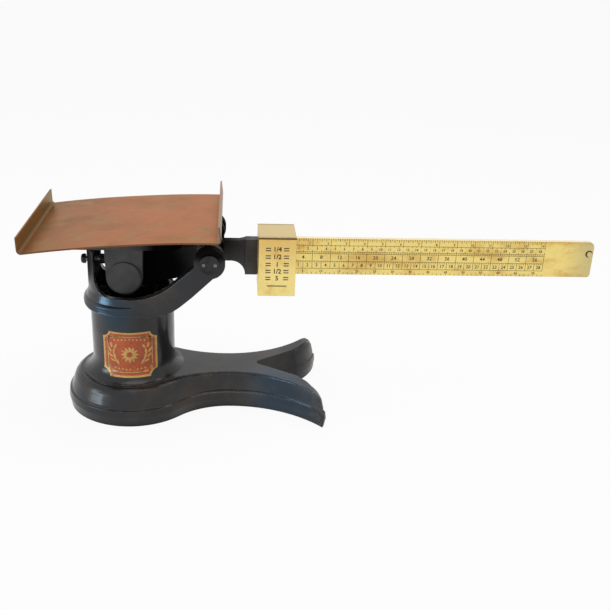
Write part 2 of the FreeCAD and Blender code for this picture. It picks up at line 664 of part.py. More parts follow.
def bearing_socket(body, name, inside, depth, low, high):
    """Sockets for the bearing blocks, cut from the facing sides of two lobes or legs."""
    place = "fulcrum_place" if body.Label == "yoke" else LOAD_PLACE
    left, right = f"({place} - bearing_half)", f"({place} + bearing_half)"
    for side, offset, back in (("front", inside, True), ("rear", f"(0 - {inside})", False)):
        sketch = new_sketch(body, f"{name}_{side}", "XZ", offset)
        draw(sketch, box_corners(left, low, right, high))
        pocket(sketch, depth, back=back)


def yoke():
    body = new_body("yoke")
    plan = new_sketch(body, "plan", "XY", "collar_bottom")
    yoke_plan(plan)
    pad(plan, f"({LOBE_HEIGHT} + lobe_radius - collar_bottom)")

    side = new_sketch(body, "side", "XZ")
    frame = "(collar_radius * 4)"
    draw(side, box_corners(f"(0 - {frame})", "0", frame, f"({frame} * 2)"))
    yoke_side(side)
    pocket(side)

    # Collar: a wall that leans in above a round bead
    ring = new_sketch(body, "collar", "XZ")
    inside = "(collar_radius - collar_wall)"
    draw(ring, [
        (inside, "collar_bottom"),
        ("(collar_bead - bead_rise / 5)", "collar_bottom"),
        ("collar_bead", "(collar_bottom + bead_rise * 0.8)", "(bead_rise * 1.2)", 1),
        ("(collar_bead - bead_rise / 2)", "(collar_bottom + bead_rise * 2)", "bead_rise", 1),
        ("collar_radius", "collar_top"),
        (inside, "collar_top"),
    ])
    revolve(ring, "V_Axis")

    bosses = new_sketch(body, "bosses", "XY", "column_top")
    screw_holes = new_sketch(body, "boss_holes", "XY")
    for side in ("1", "(0 - 1)"):
        near = f"({side} * (boss_reach - boss_half))"
        far = f"({side} * (collar_radius - collar_wall / 2))"
        left, right = (near, far) if side == "1" else (far, near)
        draw(bosses, box_corners(left, "(0 - boss_half)", right, "boss_half"))
        draw_circle(screw_holes, f"({side} * boss_reach)", "0", "screw_radius")
    pad(bosses, "boss_height")
    pocket(screw_holes)

    # The collar's skirt goes over the column, which carries the yoke on its rim
    seat = new_sketch(body, "seat", "XY", "column_top")
    draw_circle(seat, "0", "0", "(column_radius + seat_clearance)")
    pocket(seat, "column_top")

    slot = new_sketch(body, "slot", "YZ")
    draw(slot, box_corners("(0 - slot_width / 2)", f"(rod_height - {SLOT_HALF})",
                           "(slot_width / 2)", f"(rod_height + {SLOT_HALF})"))
    pocket(slot)

    bearing_socket(body, "socket", "lobe_inside", "socket_depth",
                   "(fulcrum_height - bearing_depth)", f"({LOBE_HEIGHT} + knife_back + end_play)")

    for side, offset, back in (("front", LOBE_OUTSIDE, False), ("rear", f"(0 - {LOBE_OUTSIDE})", True)):
        sketch = new_sketch(body, f"cap_holes_{side}", "XZ", offset)
        for sign in ("+", "-"):
            draw_circle(sketch, f"(fulcrum_place {sign} cap_screw_spread)", LOBE_HEIGHT,
                        "cap_screw_radius")
        pocket(sketch, "(cap_screw_length - cap_thickness)", back=back)
    return body


def vee_block(label, place, edge, up, offset, depth, back):
    """Bearing block with a V for a knife edge at height edge. up is 1 where the V opens upwards."""
    body = new_body(label)
    sketch = new_sketch(body, "section", "XZ", offset)
    sign = "1" if up else "(0 - 1)"
    bottom = f"({edge} - {sign} * knife_gap)"
    mouth = f"({bottom} + {sign} * vee_depth)"
    foot = f"({edge} - {sign} * bearing_depth)"
    draw(sketch, [
        (f"({place} - bearing_half)", foot),
        (f"({place} + bearing_half)", foot),
        (f"({place} + bearing_half)", mouth),
        (f"({place} + vee_half)", mouth),
        (place, bottom),
        (f"({place} - vee_half)", mouth),
        (f"({place} - bearing_half)", mouth),
    ])
    pad(sketch, depth, back=back)
    return body


def bearings():
    for side, sign, back in (("front", "", False), ("rear", "0 - ", True)):
        vee_block("fulcrum_bearing_" + side, "fulcrum_place", "fulcrum_height", True,
                  f"({sign}lobe_inside)", "socket_depth", back)
        vee_block("load_bearing_" + side, LOAD_PLACE, LOAD_HEIGHT, False,
                  f"({sign}leg_inside)", "leg_socket", back)


def knife_section(sketch, place, middle, up):
    """Section of a knife bar round its middle. up is True where the edge is on top."""
    sign = "1" if up else "(0 - 1)"
    back = f"({middle} - {sign} * knife_back)"
    draw(sketch, [
        (f"({place} - knife_half)", back),
        (f"({place} + knife_half)", back),
        (f"({place} + knife_half)", middle),
        (place, f"({middle} + {sign} * knife_depth)"),
        (f"({place} - knife_half)", middle),
    ])


def knives():
    body = new_body("fulcrum_knife")
    section = new_sketch(body, "section", "XZ")
    knife_section(section, "fulcrum_place", LOBE_HEIGHT, False)
    pad(section, f"(2 * {KNIFE_HALF_LENGTH})", middle=True)
    for side, offset, back in (("front", "fork_inside", False), ("rear", "(0 - fork_inside)", True)):
        body = new_body("load_knife_" + side)
        section = new_sketch(body, "section", "XZ", offset)
        knife_section(section, LOAD_PLACE, DISC_HEIGHT, True)
        pad(section, "(leg_inside + leg_socket - end_play - fork_inside)", back=back)


def turned(label, corners, place, direction):
    """Piece turned on a lathe: corners are (radius, height) along its own axis."""
    body = new_body(label)
    section = new_sketch(body, "section", "XZ")
    draw(section, corners)
    revolve(section, "V_Axis")
    set_place(body, place, direction)
    return body


def set_place(piece, place, direction):
    piece.Placement = Placement(Vector(0, 0, 0), Rotation(Vector(0, 0, 1), Vector(*direction)))
    for axis, text in zip("xyz", place):
        piece.setExpression("Placement.Base." + axis, formula(text))


def screw(label, place, direction, shank, length, head, height):
    """Round-headed screw: place is under its head, direction points from head to tip."""
    back = tuple(-part for part in direction)
    return join(label, [
        rod(label + "_shank", shank, length, place, direction),
        rod(label + "_head", head, height, place, back),
    ])


def lobe_covers():
    screws = []
    for side, sign, outward in (("front", "0 - ", (0, -1, 0)), ("rear", "", (0, 1, 0))):
        cap = new_body("fulcrum_cap_" + side)
        disc = new_sketch(cap, "disc", "XY")
        draw_circle(disc, "0", "0", "cap_radius")
        draw_circle(disc, "cap_screw_spread", "0", "cap_screw_radius")
        draw_circle(disc, "(0 - cap_screw_spread)", "0", "cap_screw_radius")
        pad(disc, "cap_thickness")
        set_place(cap, ("fulcrum_place", f"({sign}{LOBE_OUTSIDE})", LOBE_HEIGHT), outward)
        inward = tuple(-part for part in outward)
        face = f"({sign}({LOBE_OUTSIDE} + cap_thickness))"
        for name, shift in (("left", "-"), ("right", "+")):
            place = (f"(fulcrum_place {shift} cap_screw_spread)", face, LOBE_HEIGHT)
            screws.append(screw(f"cap_screw_{side}_{name}", place, inward, "cap_screw_radius",
                                "cap_screw_length", "cap_screw_head", "cap_screw_proud"))
    keep(join("cap_screw_group", screws, "Compound"), "cap_screws")


def yoke_screws():
    screws = []
    for name, sign in (("right", ""), ("left", "0 - ")):
        place = (f"({sign}boss_reach)", "0", "(column_top + boss_height)")
        screws.append(screw("yoke_screw_" + name, place, (0, 0, -1), "screw_radius",
                            "(boss_height + yoke_screw_grip)", "screw_head", "screw_head_height"))
    keep(join("yoke_screw_group", screws, "Compound"), "yoke_screws")


def beam_casting():
    body = new_body("beam_casting")
    fork = new_sketch(body, "fork", "XZ")
    left = "(bridge_place - bridge_half)"
    draw(fork, [
        (left, "(rod_height - bridge_depth / 2)"),
        (LOAD_PLACE, f"({DISC_HEIGHT} - fork_nose)"),
        ("(fulcrum_place - belly_place)", "(fulcrum_height - belly_depth)"),
        ("fulcrum_place", f"({LOBE_HEIGHT} - hub_radius)"),
        ("fulcrum_place", f"({LOBE_HEIGHT} + hub_radius / 2)"),
        (left, "(rod_height + bridge_depth / 2)"),
    ])
    pad(fork, "(2 * fork_outside)", middle=True)
    gap = new_sketch(body, "gap", "XY")
    draw(gap, box_corners("(bridge_place + bridge_half)", "(0 - fork_inside)",
                          "(fulcrum_place - hub_radius)", "fork_inside"))
    pocket(gap)

    hub = new_sketch(body, "hub", "XZ")
    draw_circle(hub, "fulcrum_place", LOBE_HEIGHT, "hub_radius")
    pad(hub, f"(2 * {HUB_HALF})", middle=True)

    shank = new_sketch(body, "shank", "XZ")
    draw(shank, [
        ("fulcrum_place", f"({LOBE_HEIGHT} - root_under)"),
        (f"(socket_place - (shank_bottom - {BAR_FOOT}))", "shank_bottom"),
        ("socket_place", BAR_FOOT, f"(shank_bottom - {BAR_FOOT})", -1),
        ("(socket_place + socket_half)", BAR_FOOT),
        ("(socket_place + socket_half)", f"({BAR_TOP} - socket_lip)"),
        ("socket_place", f"({BAR_TOP} - socket_lip)"),
        ("(socket_place - socket_half)", "shank_top"),
        ("fulcrum_place", f"({LOBE_HEIGHT} + root_over)"),
    ])
    pad(shank, "(2 * shank_half)", middle=True)
    block = new_sketch(body, "socket", "XZ")
    draw(block, box_corners("socket_place", BAR_FOOT, "socket_end", f"({BAR_TOP} - socket_lip)"))
    pad(block, "(2 * socket_half)", middle=True)
    tang = new_sketch(body, "tang_hole", "XZ")
    draw(tang, box_corners("tang_start", "(bar_middle - tang_half)",
                           "(socket_end + socket_half)", "(bar_middle + tang_half)"))
    pocket(tang, "(2 * bar_half)", middle=True)
    rivets = new_sketch(body, "rivet_holes", "XZ")
    for sign in ("+", "-"):
        draw_circle(rivets, "rivet_place", f"(bar_middle {sign} rivet_spacing / 2)", "rivet_radius")
    pocket(rivets)

    knife = new_sketch(body, "fulcrum_slot", "XZ")
    knife_section(knife, "fulcrum_place", LOBE_HEIGHT, False)
    pocket(knife)
    loads = new_sketch(body, "load_slots", "XZ")
    knife_section(loads, LOAD_PLACE, DISC_HEIGHT, True)
    pocket(loads)
    thread = new_sketch(body, "tail_hole", "YZ", "bridge_place")
    draw_circle(thread, "0", "rod_height", "rod_radius")
    pocket(thread, "(4 * bridge_half)", middle=True)
    return body


def scale_bar():
    body = new_body("scale_bar")
    side = new_sketch(body, "side", "XZ")
    draw(side, [
        ("tang_start", "(bar_middle - tang_half)"),
        ("socket_end", "(bar_middle - tang_half)"),
        ("socket_end", BAR_FOOT),
        (f"({BAR_END} - end_round_low)", BAR_FOOT),
        (BAR_END, f"({BAR_FOOT} + end_round_low)", "end_round_low", 1),
        (BAR_END, f"({BAR_TOP} - end_round_top)"),
        (f"({BAR_END} - end_round_top)", BAR_TOP, "end_round_top", 1),
        ("socket_end", BAR_TOP),
        ("socket_end", "(bar_middle + tang_half)"),
        ("tang_start", "(bar_middle + tang_half)"),
    ])
    pad(side, "(2 * bar_half)", middle=True)
    holes = new_sketch(body, "holes", "XZ")
    for sign in ("+", "-"):
        draw_circle(holes, "rivet_place", f"(bar_middle {sign} rivet_spacing / 2)", "rivet_radius")
    draw_circle(holes, STOP_PLACE, "(bar_middle + pin_rise)", "pin_radius")
    pocket(holes)
    return body


def beam_pins():
    rivets = []
    for name, sign in (("upper", "+"), ("lower", "-")):
        place = ("rivet_place", "socket_half", f"(bar_middle {sign} rivet_spacing / 2)")
        rivets.append(rod("bar_rivet_" + name, "rivet_radius", "(2 * socket_half)", place, (0, -1, 0)))
    keep(join("bar_rivet_group", rivets, "Compound"), "bar_rivets")
    place = (STOP_PLACE, "(bar_half + pin_proud)", "(bar_middle + pin_rise)")
    keep(rod("stop_pin_rod", "pin_radius", "(2 * (bar_half + pin_proud))", place, (0, -1, 0)), "stop_pin")


def tail():
    place = (f"({TAIL_END} - knob_length / 2)", "0", "rod_height")
    length = f"(bridge_place + bridge_half - {TAIL_END} + knob_length / 2)"
    keep(rod("tail_rod_bar", "rod_radius", length, place, (1, 0, 0)), "tail_rod")
    turned("tail_knob", [
        ("rod_radius", "0"),
        ("knob_radius", "0"),
        ("knob_radius", "(knob_length - knob_round)"),
        ("(knob_radius - knob_round)", "knob_length", "knob_round", 1),
        ("0", "knob_length"),
        ("0", "(knob_length / 2)"),
        ("rod_radius", "(knob_length / 2)"),
    ], (TAIL_END, "0", "rod_height"), (-1, 0, 0))


def balance_nut():
    """Nut with grooves all round for the fingers."""
    body = new_body("balance_nut")
    disc = new_sketch(body, "disc", "XY")
    draw_circle(disc, "0", "0", "nut_radius")
    draw_circle(disc, "0", "0", "(rod_radius + run_clearance)")
    pad(disc, "nut_length")
    groove = new_sketch(body, "groove", "XY")
    draw_circle(groove, "(nut_radius + knurl_radius / 2)", "0", "knurl_radius")
    first = pocket(groove)
    pattern = body.newObject("PartDesign::PolarPattern", "balance_nut_knurl")
    pattern.Originals = [first]
    pattern.Axis = (disc, ["N_Axis"])
    pattern.Angle = 360
    pattern.setExpression("Occurrences", formula("nut_knurls"))
    body.Tip = pattern
    set_place(body, (NUT_LEFT, "0", "rod_height"), (1, 0, 0))
    return body


def poise():
    body = new_body("poise_body")
    width = "(2 * (poise_half - poise_plate))"
    shell = new_sketch(body, "shell", "XZ")
    draw(shell, box_corners(POISE_LEFT, "poise_bottom", POISE_RIGHT, "poise_top"))
    inner = (f"({POISE_LEFT} + poise_sheet)", "(poise_bottom + poise_sheet)",
             f"({POISE_RIGHT} - poise_sheet)", "(poise_top - poise_sheet)")
    draw(shell, box_corners(*inner))
    pad(shell, width, middle=True)
    slot = new_sketch(body, "slot", "YZ")
    draw(slot, box_corners("(0 - bar_half - poise_side_gap)", f"({BAR_FOOT} - poise_under_gap)",
                           "(bar_half + poise_side_gap)", f"({BAR_TOP} + poise_side_gap)"))
    pocket(slot)

    for side, offset, back in (("front", "(poise_half - poise_plate)", False),
                               ("rear", "(poise_plate - poise_half)", True)):
        plate = new_body(f"poise_{side}_plate")
        face = new_sketch(plate, "face", "XZ", offset)
        draw(face, box_corners(POISE_LEFT, "poise_bottom", POISE_RIGHT, "poise_top"))
        pad(face, "poise_plate", back=back)

    filler = new_body("poise_filler")
    block = new_sketch(filler, "block", "XZ")
    draw(block, box_corners(*inner))
    pad(block, width, middle=True)
    channel = new_sketch(filler, "channel", "YZ")
    draw(channel, box_corners("(0 - bar_half - 2 * poise_side_gap)", f"({BAR_FOOT} - poise_sheet)",
                              "(bar_half + 2 * poise_side_gap)", "poise_top"))
    pocket(channel)

    spring = new_body("poise_spring")
    leaf = new_sketch(spring, "leaf", "XZ")
    roof = "(poise_top - poise_sheet)"
    left = f"({POISE_LEFT} + 2 * poise_sheet)"
    right = f"({POISE_RIGHT} - 2 * poise_sheet)"
    sag = f"({roof} - spring_sheet - {BAR_TOP} - spring_gap)"
    curve = f"((({right} - {left})^2 / 4 + {sag}^2) / (2 * {sag}))"
    draw(leaf, [
        (right, f"({roof} - spring_sheet)", curve, 1),
        (right, roof),
        (left, roof, curve, -1),
        (left, f"({roof} - spring_sheet)"),
    ])
    pad(leaf, "(2 * bar_half)", middle=True)


# The pan's floor in its own section: flat in the middle, falling off in a long curve to both bends
FLOOR_END = "(pan_length / 2 - bend_radius)"
FLOOR_CURVE = f"((({FLOOR_END} - pan_flat)^2 + pan_crown^2) / (2 * pan_crown))"
RIVET_TOP = f"(pan_crown - (pan_rivet_reach - pan_flat)^2 / (2 * {FLOOR_CURVE}))"


def lean_like_pan(piece):
    """Turns a piece with the pan: its own origin is level with the ends of the pan's floor."""
    piece.Placement = Placement(Vector(0, 0, number("pan_height")), Rotation(Vector(0, -1, 0), 1))
    piece.setExpression("Placement.Base.z", formula("pan_height"))
    piece.setExpression("Placement.Rotation.Angle", formula("pan_tilt"))
    return piece


def rivet_spots():
    return [(f"({a}pan_rivet_reach)", f"({b}pan_rivet_spread)") for a in ("", "0 - ") for b in ("", "0 - ")]


def carrier_casting():
    body = new_body("carrier_casting")
    plate = new_sketch(body, "plate", "XY", "plate_bottom")
    draw(plate, box_corners("plate_left", "(0 - plate_half)", "plate_right", "plate_half"))
    pad(plate, "plate_height")
    corners = [f"Edge{place}" for place, edge in enumerate(body.Shape.Edges, start=1)
               if abs(edge.tangentAt(edge.FirstParameter).z) > 0.99]
    fillet(body, corners, "plate_corner")

    # The plate's top fits the underside of the pan
    top = new_sketch(body, "top", "XZ")
    top.AttachmentOffset = Placement(Vector(0, number("pan_height"), 0), Rotation(Vector(0, 0, 1), 1))
    top.setExpression("AttachmentOffset.Base.y", formula("pan_height"))
    top.setExpression("AttachmentOffset.Rotation.Angle", formula("pan_tilt"))
    draw(top, [
        ("(0 - pan_flat)", "(pan_crown - pan_sheet)", FLOOR_CURVE, -1),
        ("pan_flat", "(pan_crown - pan_sheet)"),
        (FLOOR_END, "(0 - pan_sheet)", FLOOR_CURVE, -1),
        (FLOOR_END, "(plate_height * 2)"),
        (f"(0 - {FLOOR_END})", "(plate_height * 2)"),
        (f"(0 - {FLOOR_END})", "(0 - pan_sheet)"),
    ])
    pocket(top)

    boss = new_sketch(body, "boss", "XY", "plate_bottom")
    draw_circle(boss, LOAD_PLACE, "0", "hub_half")
    pad(boss, "hub_drop", back=True)
    leg_top = "(plate_bottom + disc_proud)"
    for side, sign, back in (("front", "", False), ("rear", "0 - ", True)):
        leg = new_sketch(body, "leg_" + side, "XZ", f"({sign}leg_inside)")
        draw(leg, [
            (LOAD_PLACE, f"({DISC_HEIGHT} - disc_radius)", "disc_radius", 1),
            (f"({LOAD_PLACE} + disc_radius)", DISC_HEIGHT, "disc_radius", 1),
            (f"({LOAD_PLACE} + leg_half)", leg_top),
            (f"({LOAD_PLACE} - leg_half)", leg_top),
            (f"({LOAD_PLACE} - disc_radius)", DISC_HEIGHT),
        ])
        pad(leg, "leg_thickness", back=back)
        disc = new_sketch(body, "disc_" + side, "XZ", f"({sign}{LEG_OUTSIDE})")
        draw_circle(disc, LOAD_PLACE, DISC_HEIGHT, "(disc_radius - disc_rim)")
        pad(disc, "disc_proud", back=back)

    bearing_socket(body, "socket", "leg_inside", "leg_socket",
                   f"({DISC_HEIGHT} - knife_back - end_play)", f"({LOAD_HEIGHT} + bearing_depth)")
    stem_hole = new_sketch(body, "stem_hole", "XY", "(plate_bottom - hub_drop)")
    draw_circle(stem_hole, LOAD_PLACE, "0", "stem_radius")
    pocket(stem_hole, "stem_grip", back=True)

    rivet_holes = new_sketch(body, "rivet_holes", "XY")
    rivet_holes.AttachmentOffset = Placement(Vector(0, 0, number("pan_height")), Rotation(Vector(0, -1, 0), 1))
    rivet_holes.setExpression("AttachmentOffset.Base.x", formula(f"(0 - {RIVET_TOP} * sin(pan_tilt))"))
    rivet_holes.setExpression("AttachmentOffset.Base.z", formula(f"(pan_height + {RIVET_TOP} * cos(pan_tilt))"))
    rivet_holes.setExpression("AttachmentOffset.Rotation.Angle", formula("pan_tilt"))
    for x, y in rivet_spots():
        draw_circle(rivet_holes, x, y, "pan_rivet_radius")
    pocket(rivet_holes, "pan_rivet_length")
    return body


def pan():
    body = new_body("pan")
    section = new_sketch(body, "section", "XZ")
    half = "(pan_length / 2)"
    outer = "(bend_radius + pan_sheet)"
    edge = f"({half} + flange_lean)"
    # From the left bend over the floor, up and down the right end, back under the floor to the left end
    draw(section, [
        ("(0 - pan_flat)", "pan_crown", FLOOR_CURVE, -1),
        ("pan_flat", "pan_crown"),
        (FLOOR_END, "0", FLOOR_CURVE, -1),
        (half, "bend_radius", "bend_radius", 1),
        (edge, "flange_height"),
        (f"({edge} + pan_sheet)", "flange_height"),
        (f"({half} + pan_sheet)", "bend_radius"),
        (FLOOR_END, "(0 - pan_sheet)", outer, -1),
        ("pan_flat", "(pan_crown - pan_sheet)", FLOOR_CURVE, 1),
        ("(0 - pan_flat)", "(pan_crown - pan_sheet)"),
        (f"(0 - {FLOOR_END})", "(0 - pan_sheet)", FLOOR_CURVE, 1),
        (f"(0 - {half} - pan_sheet)", "bend_radius", outer, -1),
        (f"(0 - {edge} - pan_sheet)", "flange_height"),
        (f"(0 - {edge})", "flange_height"),
        (f"(0 - {half})", "bend_radius"),
        (f"(0 - {FLOOR_END})", "0", "bend_radius", 1),
    ])
    pad(section, "(2 * pan_half)", middle=True)
    holes = new_sketch(body, "rivet_holes", "XY")
    for x, y in rivet_spots():
        draw_circle(holes, x, y, "pan_rivet_radius")
    pocket(holes)
    lean_like_pan(body)

    rivets = new_body("pan_rivets")
    shanks = new_sketch(rivets, "shanks", "XY", RIVET_TOP)
    for x, y in rivet_spots():
        draw_circle(shanks, x, y, "pan_rivet_radius")
    pad(shanks, "pan_rivet_length", back=True)
    lean_like_pan(rivets)


def stem():
    top = "(plate_bottom - hub_drop + stem_grip)"
    foot = f"({STEM_PIN_HEIGHT} + clevis_height - clevis_grip)"
    keep(rod("stem_rod", "stem_radius", f"({top} - {foot})", (LOAD_PLACE, "0", foot), (0, 0, 1)),
         "carrier_stem")

    nut = new_body("stem_nut")
    flats = new_sketch(nut, "flats", "XY", "(plate_bottom - hub_drop - nut_height)")
    corners = []
    for step in range(6):
        angle = f"(60 * {step})"
        corners.append((f"({LOAD_PLACE} + nut_flats / sqrt(3) * cos({angle}))",
                        f"(nut_flats / sqrt(3) * sin({angle}))"))
    draw(flats, corners)
    draw_circle(flats, LOAD_PLACE, "0", "stem_radius")
    pad(flats, "nut_height")

    body = new_body("stem_clevis")
    block = new_sketch(body, "block", "XZ")
    draw(block, [
        (f"({LOAD_PLACE} - link_eye)", STEM_PIN_HEIGHT),
        (LOAD_PLACE, f"({STEM_PIN_HEIGHT} - link_eye)", "link_eye", 1),
        (f"({LOAD_PLACE} + link_eye)", STEM_PIN_HEIGHT, "link_eye", 1),
        (f"({LOAD_PLACE} + link_eye)", f"({STEM_PIN_HEIGHT} + clevis_height)"),
        (f"({LOAD_PLACE} - link_eye)", f"({STEM_PIN_HEIGHT} + clevis_height)"),
    ])
    pad(block, "(2 * clevis_half)", middle=True)
    slot = new_sketch(body, "slot", "YZ")
    draw(slot, box_corners("(0 - link_half - link_side_gap)", "0", "(link_half + link_side_gap)",
                           f"({STEM_PIN_HEIGHT} + link_eye + link_side_gap)"))
    pocket(slot)
    pin_hole = new_sketch(body, "pin_hole", "XZ")
    draw_circle(pin_hole, LOAD_PLACE, STEM_PIN_HEIGHT, "link_pin_radius")
    pocket(pin_hole)
    stem_hole = new_sketch(body, "stem_hole", "XY", f"({STEM_PIN_HEIGHT} + clevis_height)")
    draw_circle(stem_hole, LOAD_PLACE, "0", "stem_radius")
    pocket(stem_hole, "clevis_grip")
    pin_half = "(clevis_half + pin_head)"
    keep(rod("link_pin_rod", "link_pin_radius", f"(2 * {pin_half})",
             (LOAD_PLACE, pin_half, STEM_PIN_HEIGHT), (0, -1, 0)), "link_pin")


def check_link():
    body = new_body("check_link")
    side = new_sketch(body, "bar", "XZ")
    draw(side, [
        (LOAD_PLACE, f"({STEM_PIN_HEIGHT} - link_width / 2)"),
        ("fulcrum_place", "(anchor_height - link_width / 2)"),
        ("fulcrum_place", "(anchor_height + link_width / 2)"),
        (LOAD_PLACE, f"({STEM_PIN_HEIGHT} + link_width / 2)"),
    ])
    pad(side, "(2 * link_half)", middle=True)
    for name, x, z in (("moving", LOAD_PLACE, STEM_PIN_HEIGHT), ("fixed", "fulcrum_place", "anchor_height")):
        eye = new_sketch(body, name + "_eye", "XZ")
        draw_circle(eye, x, z, "link_eye")
        pad(eye, "(2 * link_half)", middle=True)
    holes = new_sketch(body, "holes", "XZ")
    draw_circle(holes, LOAD_PLACE, STEM_PIN_HEIGHT, "(link_pin_radius + open_clearance)")
    draw_circle(holes, "fulcrum_place", "anchor_height", "(link_pin_radius + run_clearance)")
    pocket(holes)
    return body


def link_bracket():
    body = new_body("link_bracket")
    left, right = "(fulcrum_place - ear_half)", "(fulcrum_place + ear_half)"
    plate = new_sketch(body, "plate", "XY", BRACKET_FOOT)
    draw(plate, box_corners(left, "(0 - bracket_half)", right, "bracket_half"))
    for sign in ("", "0 - "):
        draw_circle(plate, "fulcrum_place", f"({sign}screw_spread)", "screw_radius")
    pad(plate, "bracket_plate")
    inside = "(link_half + link_side_gap)"
    for side, sign, back in (("front", "", False), ("rear", "0 - ", True)):
        ear = new_sketch(body, "ear_" + side, "XZ", f"({sign}{inside})")
        draw(ear, [
            (left, "anchor_height"),
            ("fulcrum_place", "(anchor_height - ear_half)", "ear_half", 1),
            (right, "anchor_height", "ear_half", 1),
            (right, f"({BRACKET_FOOT} + bracket_plate / 2)"),
            (left, f"({BRACKET_FOOT} + bracket_plate / 2)"),
        ])
        pad(ear, "ear_thickness", back=back)
    hole = new_sketch(body, "pin_hole", "XZ")
    draw_circle(hole, "fulcrum_place", "anchor_height", "link_pin_radius")
    pocket(hole)

    pin_half = f"({inside} + ear_thickness + pin_head)"
    keep(rod("bracket_pin_rod", "link_pin_radius", f"(2 * {pin_half})",
             ("fulcrum_place", pin_half, "anchor_height"), (0, -1, 0)), "bracket_pin")
    screws = []
    for name, sign in (("front", "0 - "), ("rear", "")):
        place = ("fulcrum_place", f"({sign}screw_spread)", BRACKET_FOOT)
        screws.append(screw("bracket_screw_" + name, place, (0, 0, 1), "screw_radius",
                            "(bracket_plate + bracket_screw_grip)", "screw_head", "screw_head_height"))
    keep(join("bracket_screw_group", screws, "Compound"), "bracket_screws")


def check_and_write():
    DOCUMENT.recompute()
    for item in DOCUMENT.Objects:
        if "Invalid" in item.State or "Error" in item.State:
            raise RuntimeError(f"{item.Name} failed: {item.State}")
    os.makedirs("parts", exist_ok=True)
    for piece in PIECES:
        shape = piece.Shape
        if shape.isNull() or not shape.isValid() or not shape.Solids:
            raise RuntimeError(f"{piece.Label} has no valid solid")
        shape.exportStep(f"parts/{piece.Label}.step")
        print(f"{piece.Label:24s} {len(shape.Solids)} solid {shape.Volume / 1000:9.3f} cm3")


DOCUMENT = FreeCAD.newDocument("PostalScale")
SHEET = fill_sheet(DOCUMENT)
PIECES = []

base_casting()
yoke()
yoke_screws()
bearings()
knives()
lobe_covers()
beam_casting()
scale_bar()
beam_pins()
tail()
balance_nut()
poise()
carrier_casting()
pan()
stem()
check_link()
link_bracket()
check_and_write()
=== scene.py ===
import math

import bpy
from mathutils import Matrix, Vector


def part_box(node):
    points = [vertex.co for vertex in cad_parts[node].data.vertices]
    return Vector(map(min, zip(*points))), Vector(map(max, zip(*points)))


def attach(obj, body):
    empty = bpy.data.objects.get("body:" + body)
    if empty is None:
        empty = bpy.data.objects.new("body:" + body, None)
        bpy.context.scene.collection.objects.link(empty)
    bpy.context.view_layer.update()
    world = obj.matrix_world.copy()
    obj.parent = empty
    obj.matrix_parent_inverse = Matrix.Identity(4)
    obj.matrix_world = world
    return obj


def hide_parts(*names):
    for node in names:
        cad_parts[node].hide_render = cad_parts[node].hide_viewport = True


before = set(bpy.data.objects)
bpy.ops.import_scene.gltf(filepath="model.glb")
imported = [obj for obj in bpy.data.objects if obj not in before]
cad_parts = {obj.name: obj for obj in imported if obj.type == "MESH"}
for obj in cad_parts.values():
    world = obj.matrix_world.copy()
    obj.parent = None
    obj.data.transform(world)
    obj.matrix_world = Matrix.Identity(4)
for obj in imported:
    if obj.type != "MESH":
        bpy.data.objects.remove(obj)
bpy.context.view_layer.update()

bl_info = {
    "name": "Postal Beam Scale Finish",
    "version": (1, 0, 0),
    "blender": (4, 5, 0),
    "location": "3D View > Sidebar > Scale",
    "description": "Finishes, graduations, badge and stage for a postal beam scale",
    "category": "Object",
}

MM = 0.001


# Settings

def length_setting(name, description, default):
    return bpy.props.FloatProperty(name=name, description=description, default=default,
                                   subtype="DISTANCE", unit="LENGTH", precision=4)


def colour_setting(name, description, default):
    return bpy.props.FloatVectorProperty(name=name, description=description, default=default,
                                         size=3, min=0.0, max=1.0, subtype="COLOR")


class ScaleBarSettings(bpy.types.PropertyGroup):
    """Graduations of the brass bar and marks of the poise."""
    ounces: bpy.props.IntProperty(
        name="Ounces", description="Numbered divisions along the bar", default=14, min=1, max=40)
    first_mark: length_setting("First mark", "Place of the first division along the beam", 93.3 * MM)
    spacing: length_setting("Spacing", "Distance between two divisions", 10.6 * MM)
    line: length_setting("Line", "Width of an engraved line", 0.24 * MM)
    depth: length_setting("Depth", "How far the fill of a line stands on the brass", 0.02 * MM)
    stroke: length_setting("Stroke", "How much the strokes of the numbers are thickened", 0.05 * MM)


class ScaleBadgeSettings(bpy.types.PropertyGroup):
    """Printed transfer on the column."""
    height: length_setting("Height", "Height of the badge's middle above the table", 38.6 * MM)
    half_width: length_setting("Half width", "Half width, seen from the front", 15.4 * MM)
    half_height: length_setting("Half height", "Half height", 13.9 * MM)
    corner: length_setting("Corner", "Size of the hollow corners", 3.6 * MM)
    petals: bpy.props.IntProperty(
        name="Petals", description="Petals of the rosette in the middle", default=12, min=6, max=32)
    film: length_setting("Film", "Thickness of one layer of the transfer", 0.03 * MM)


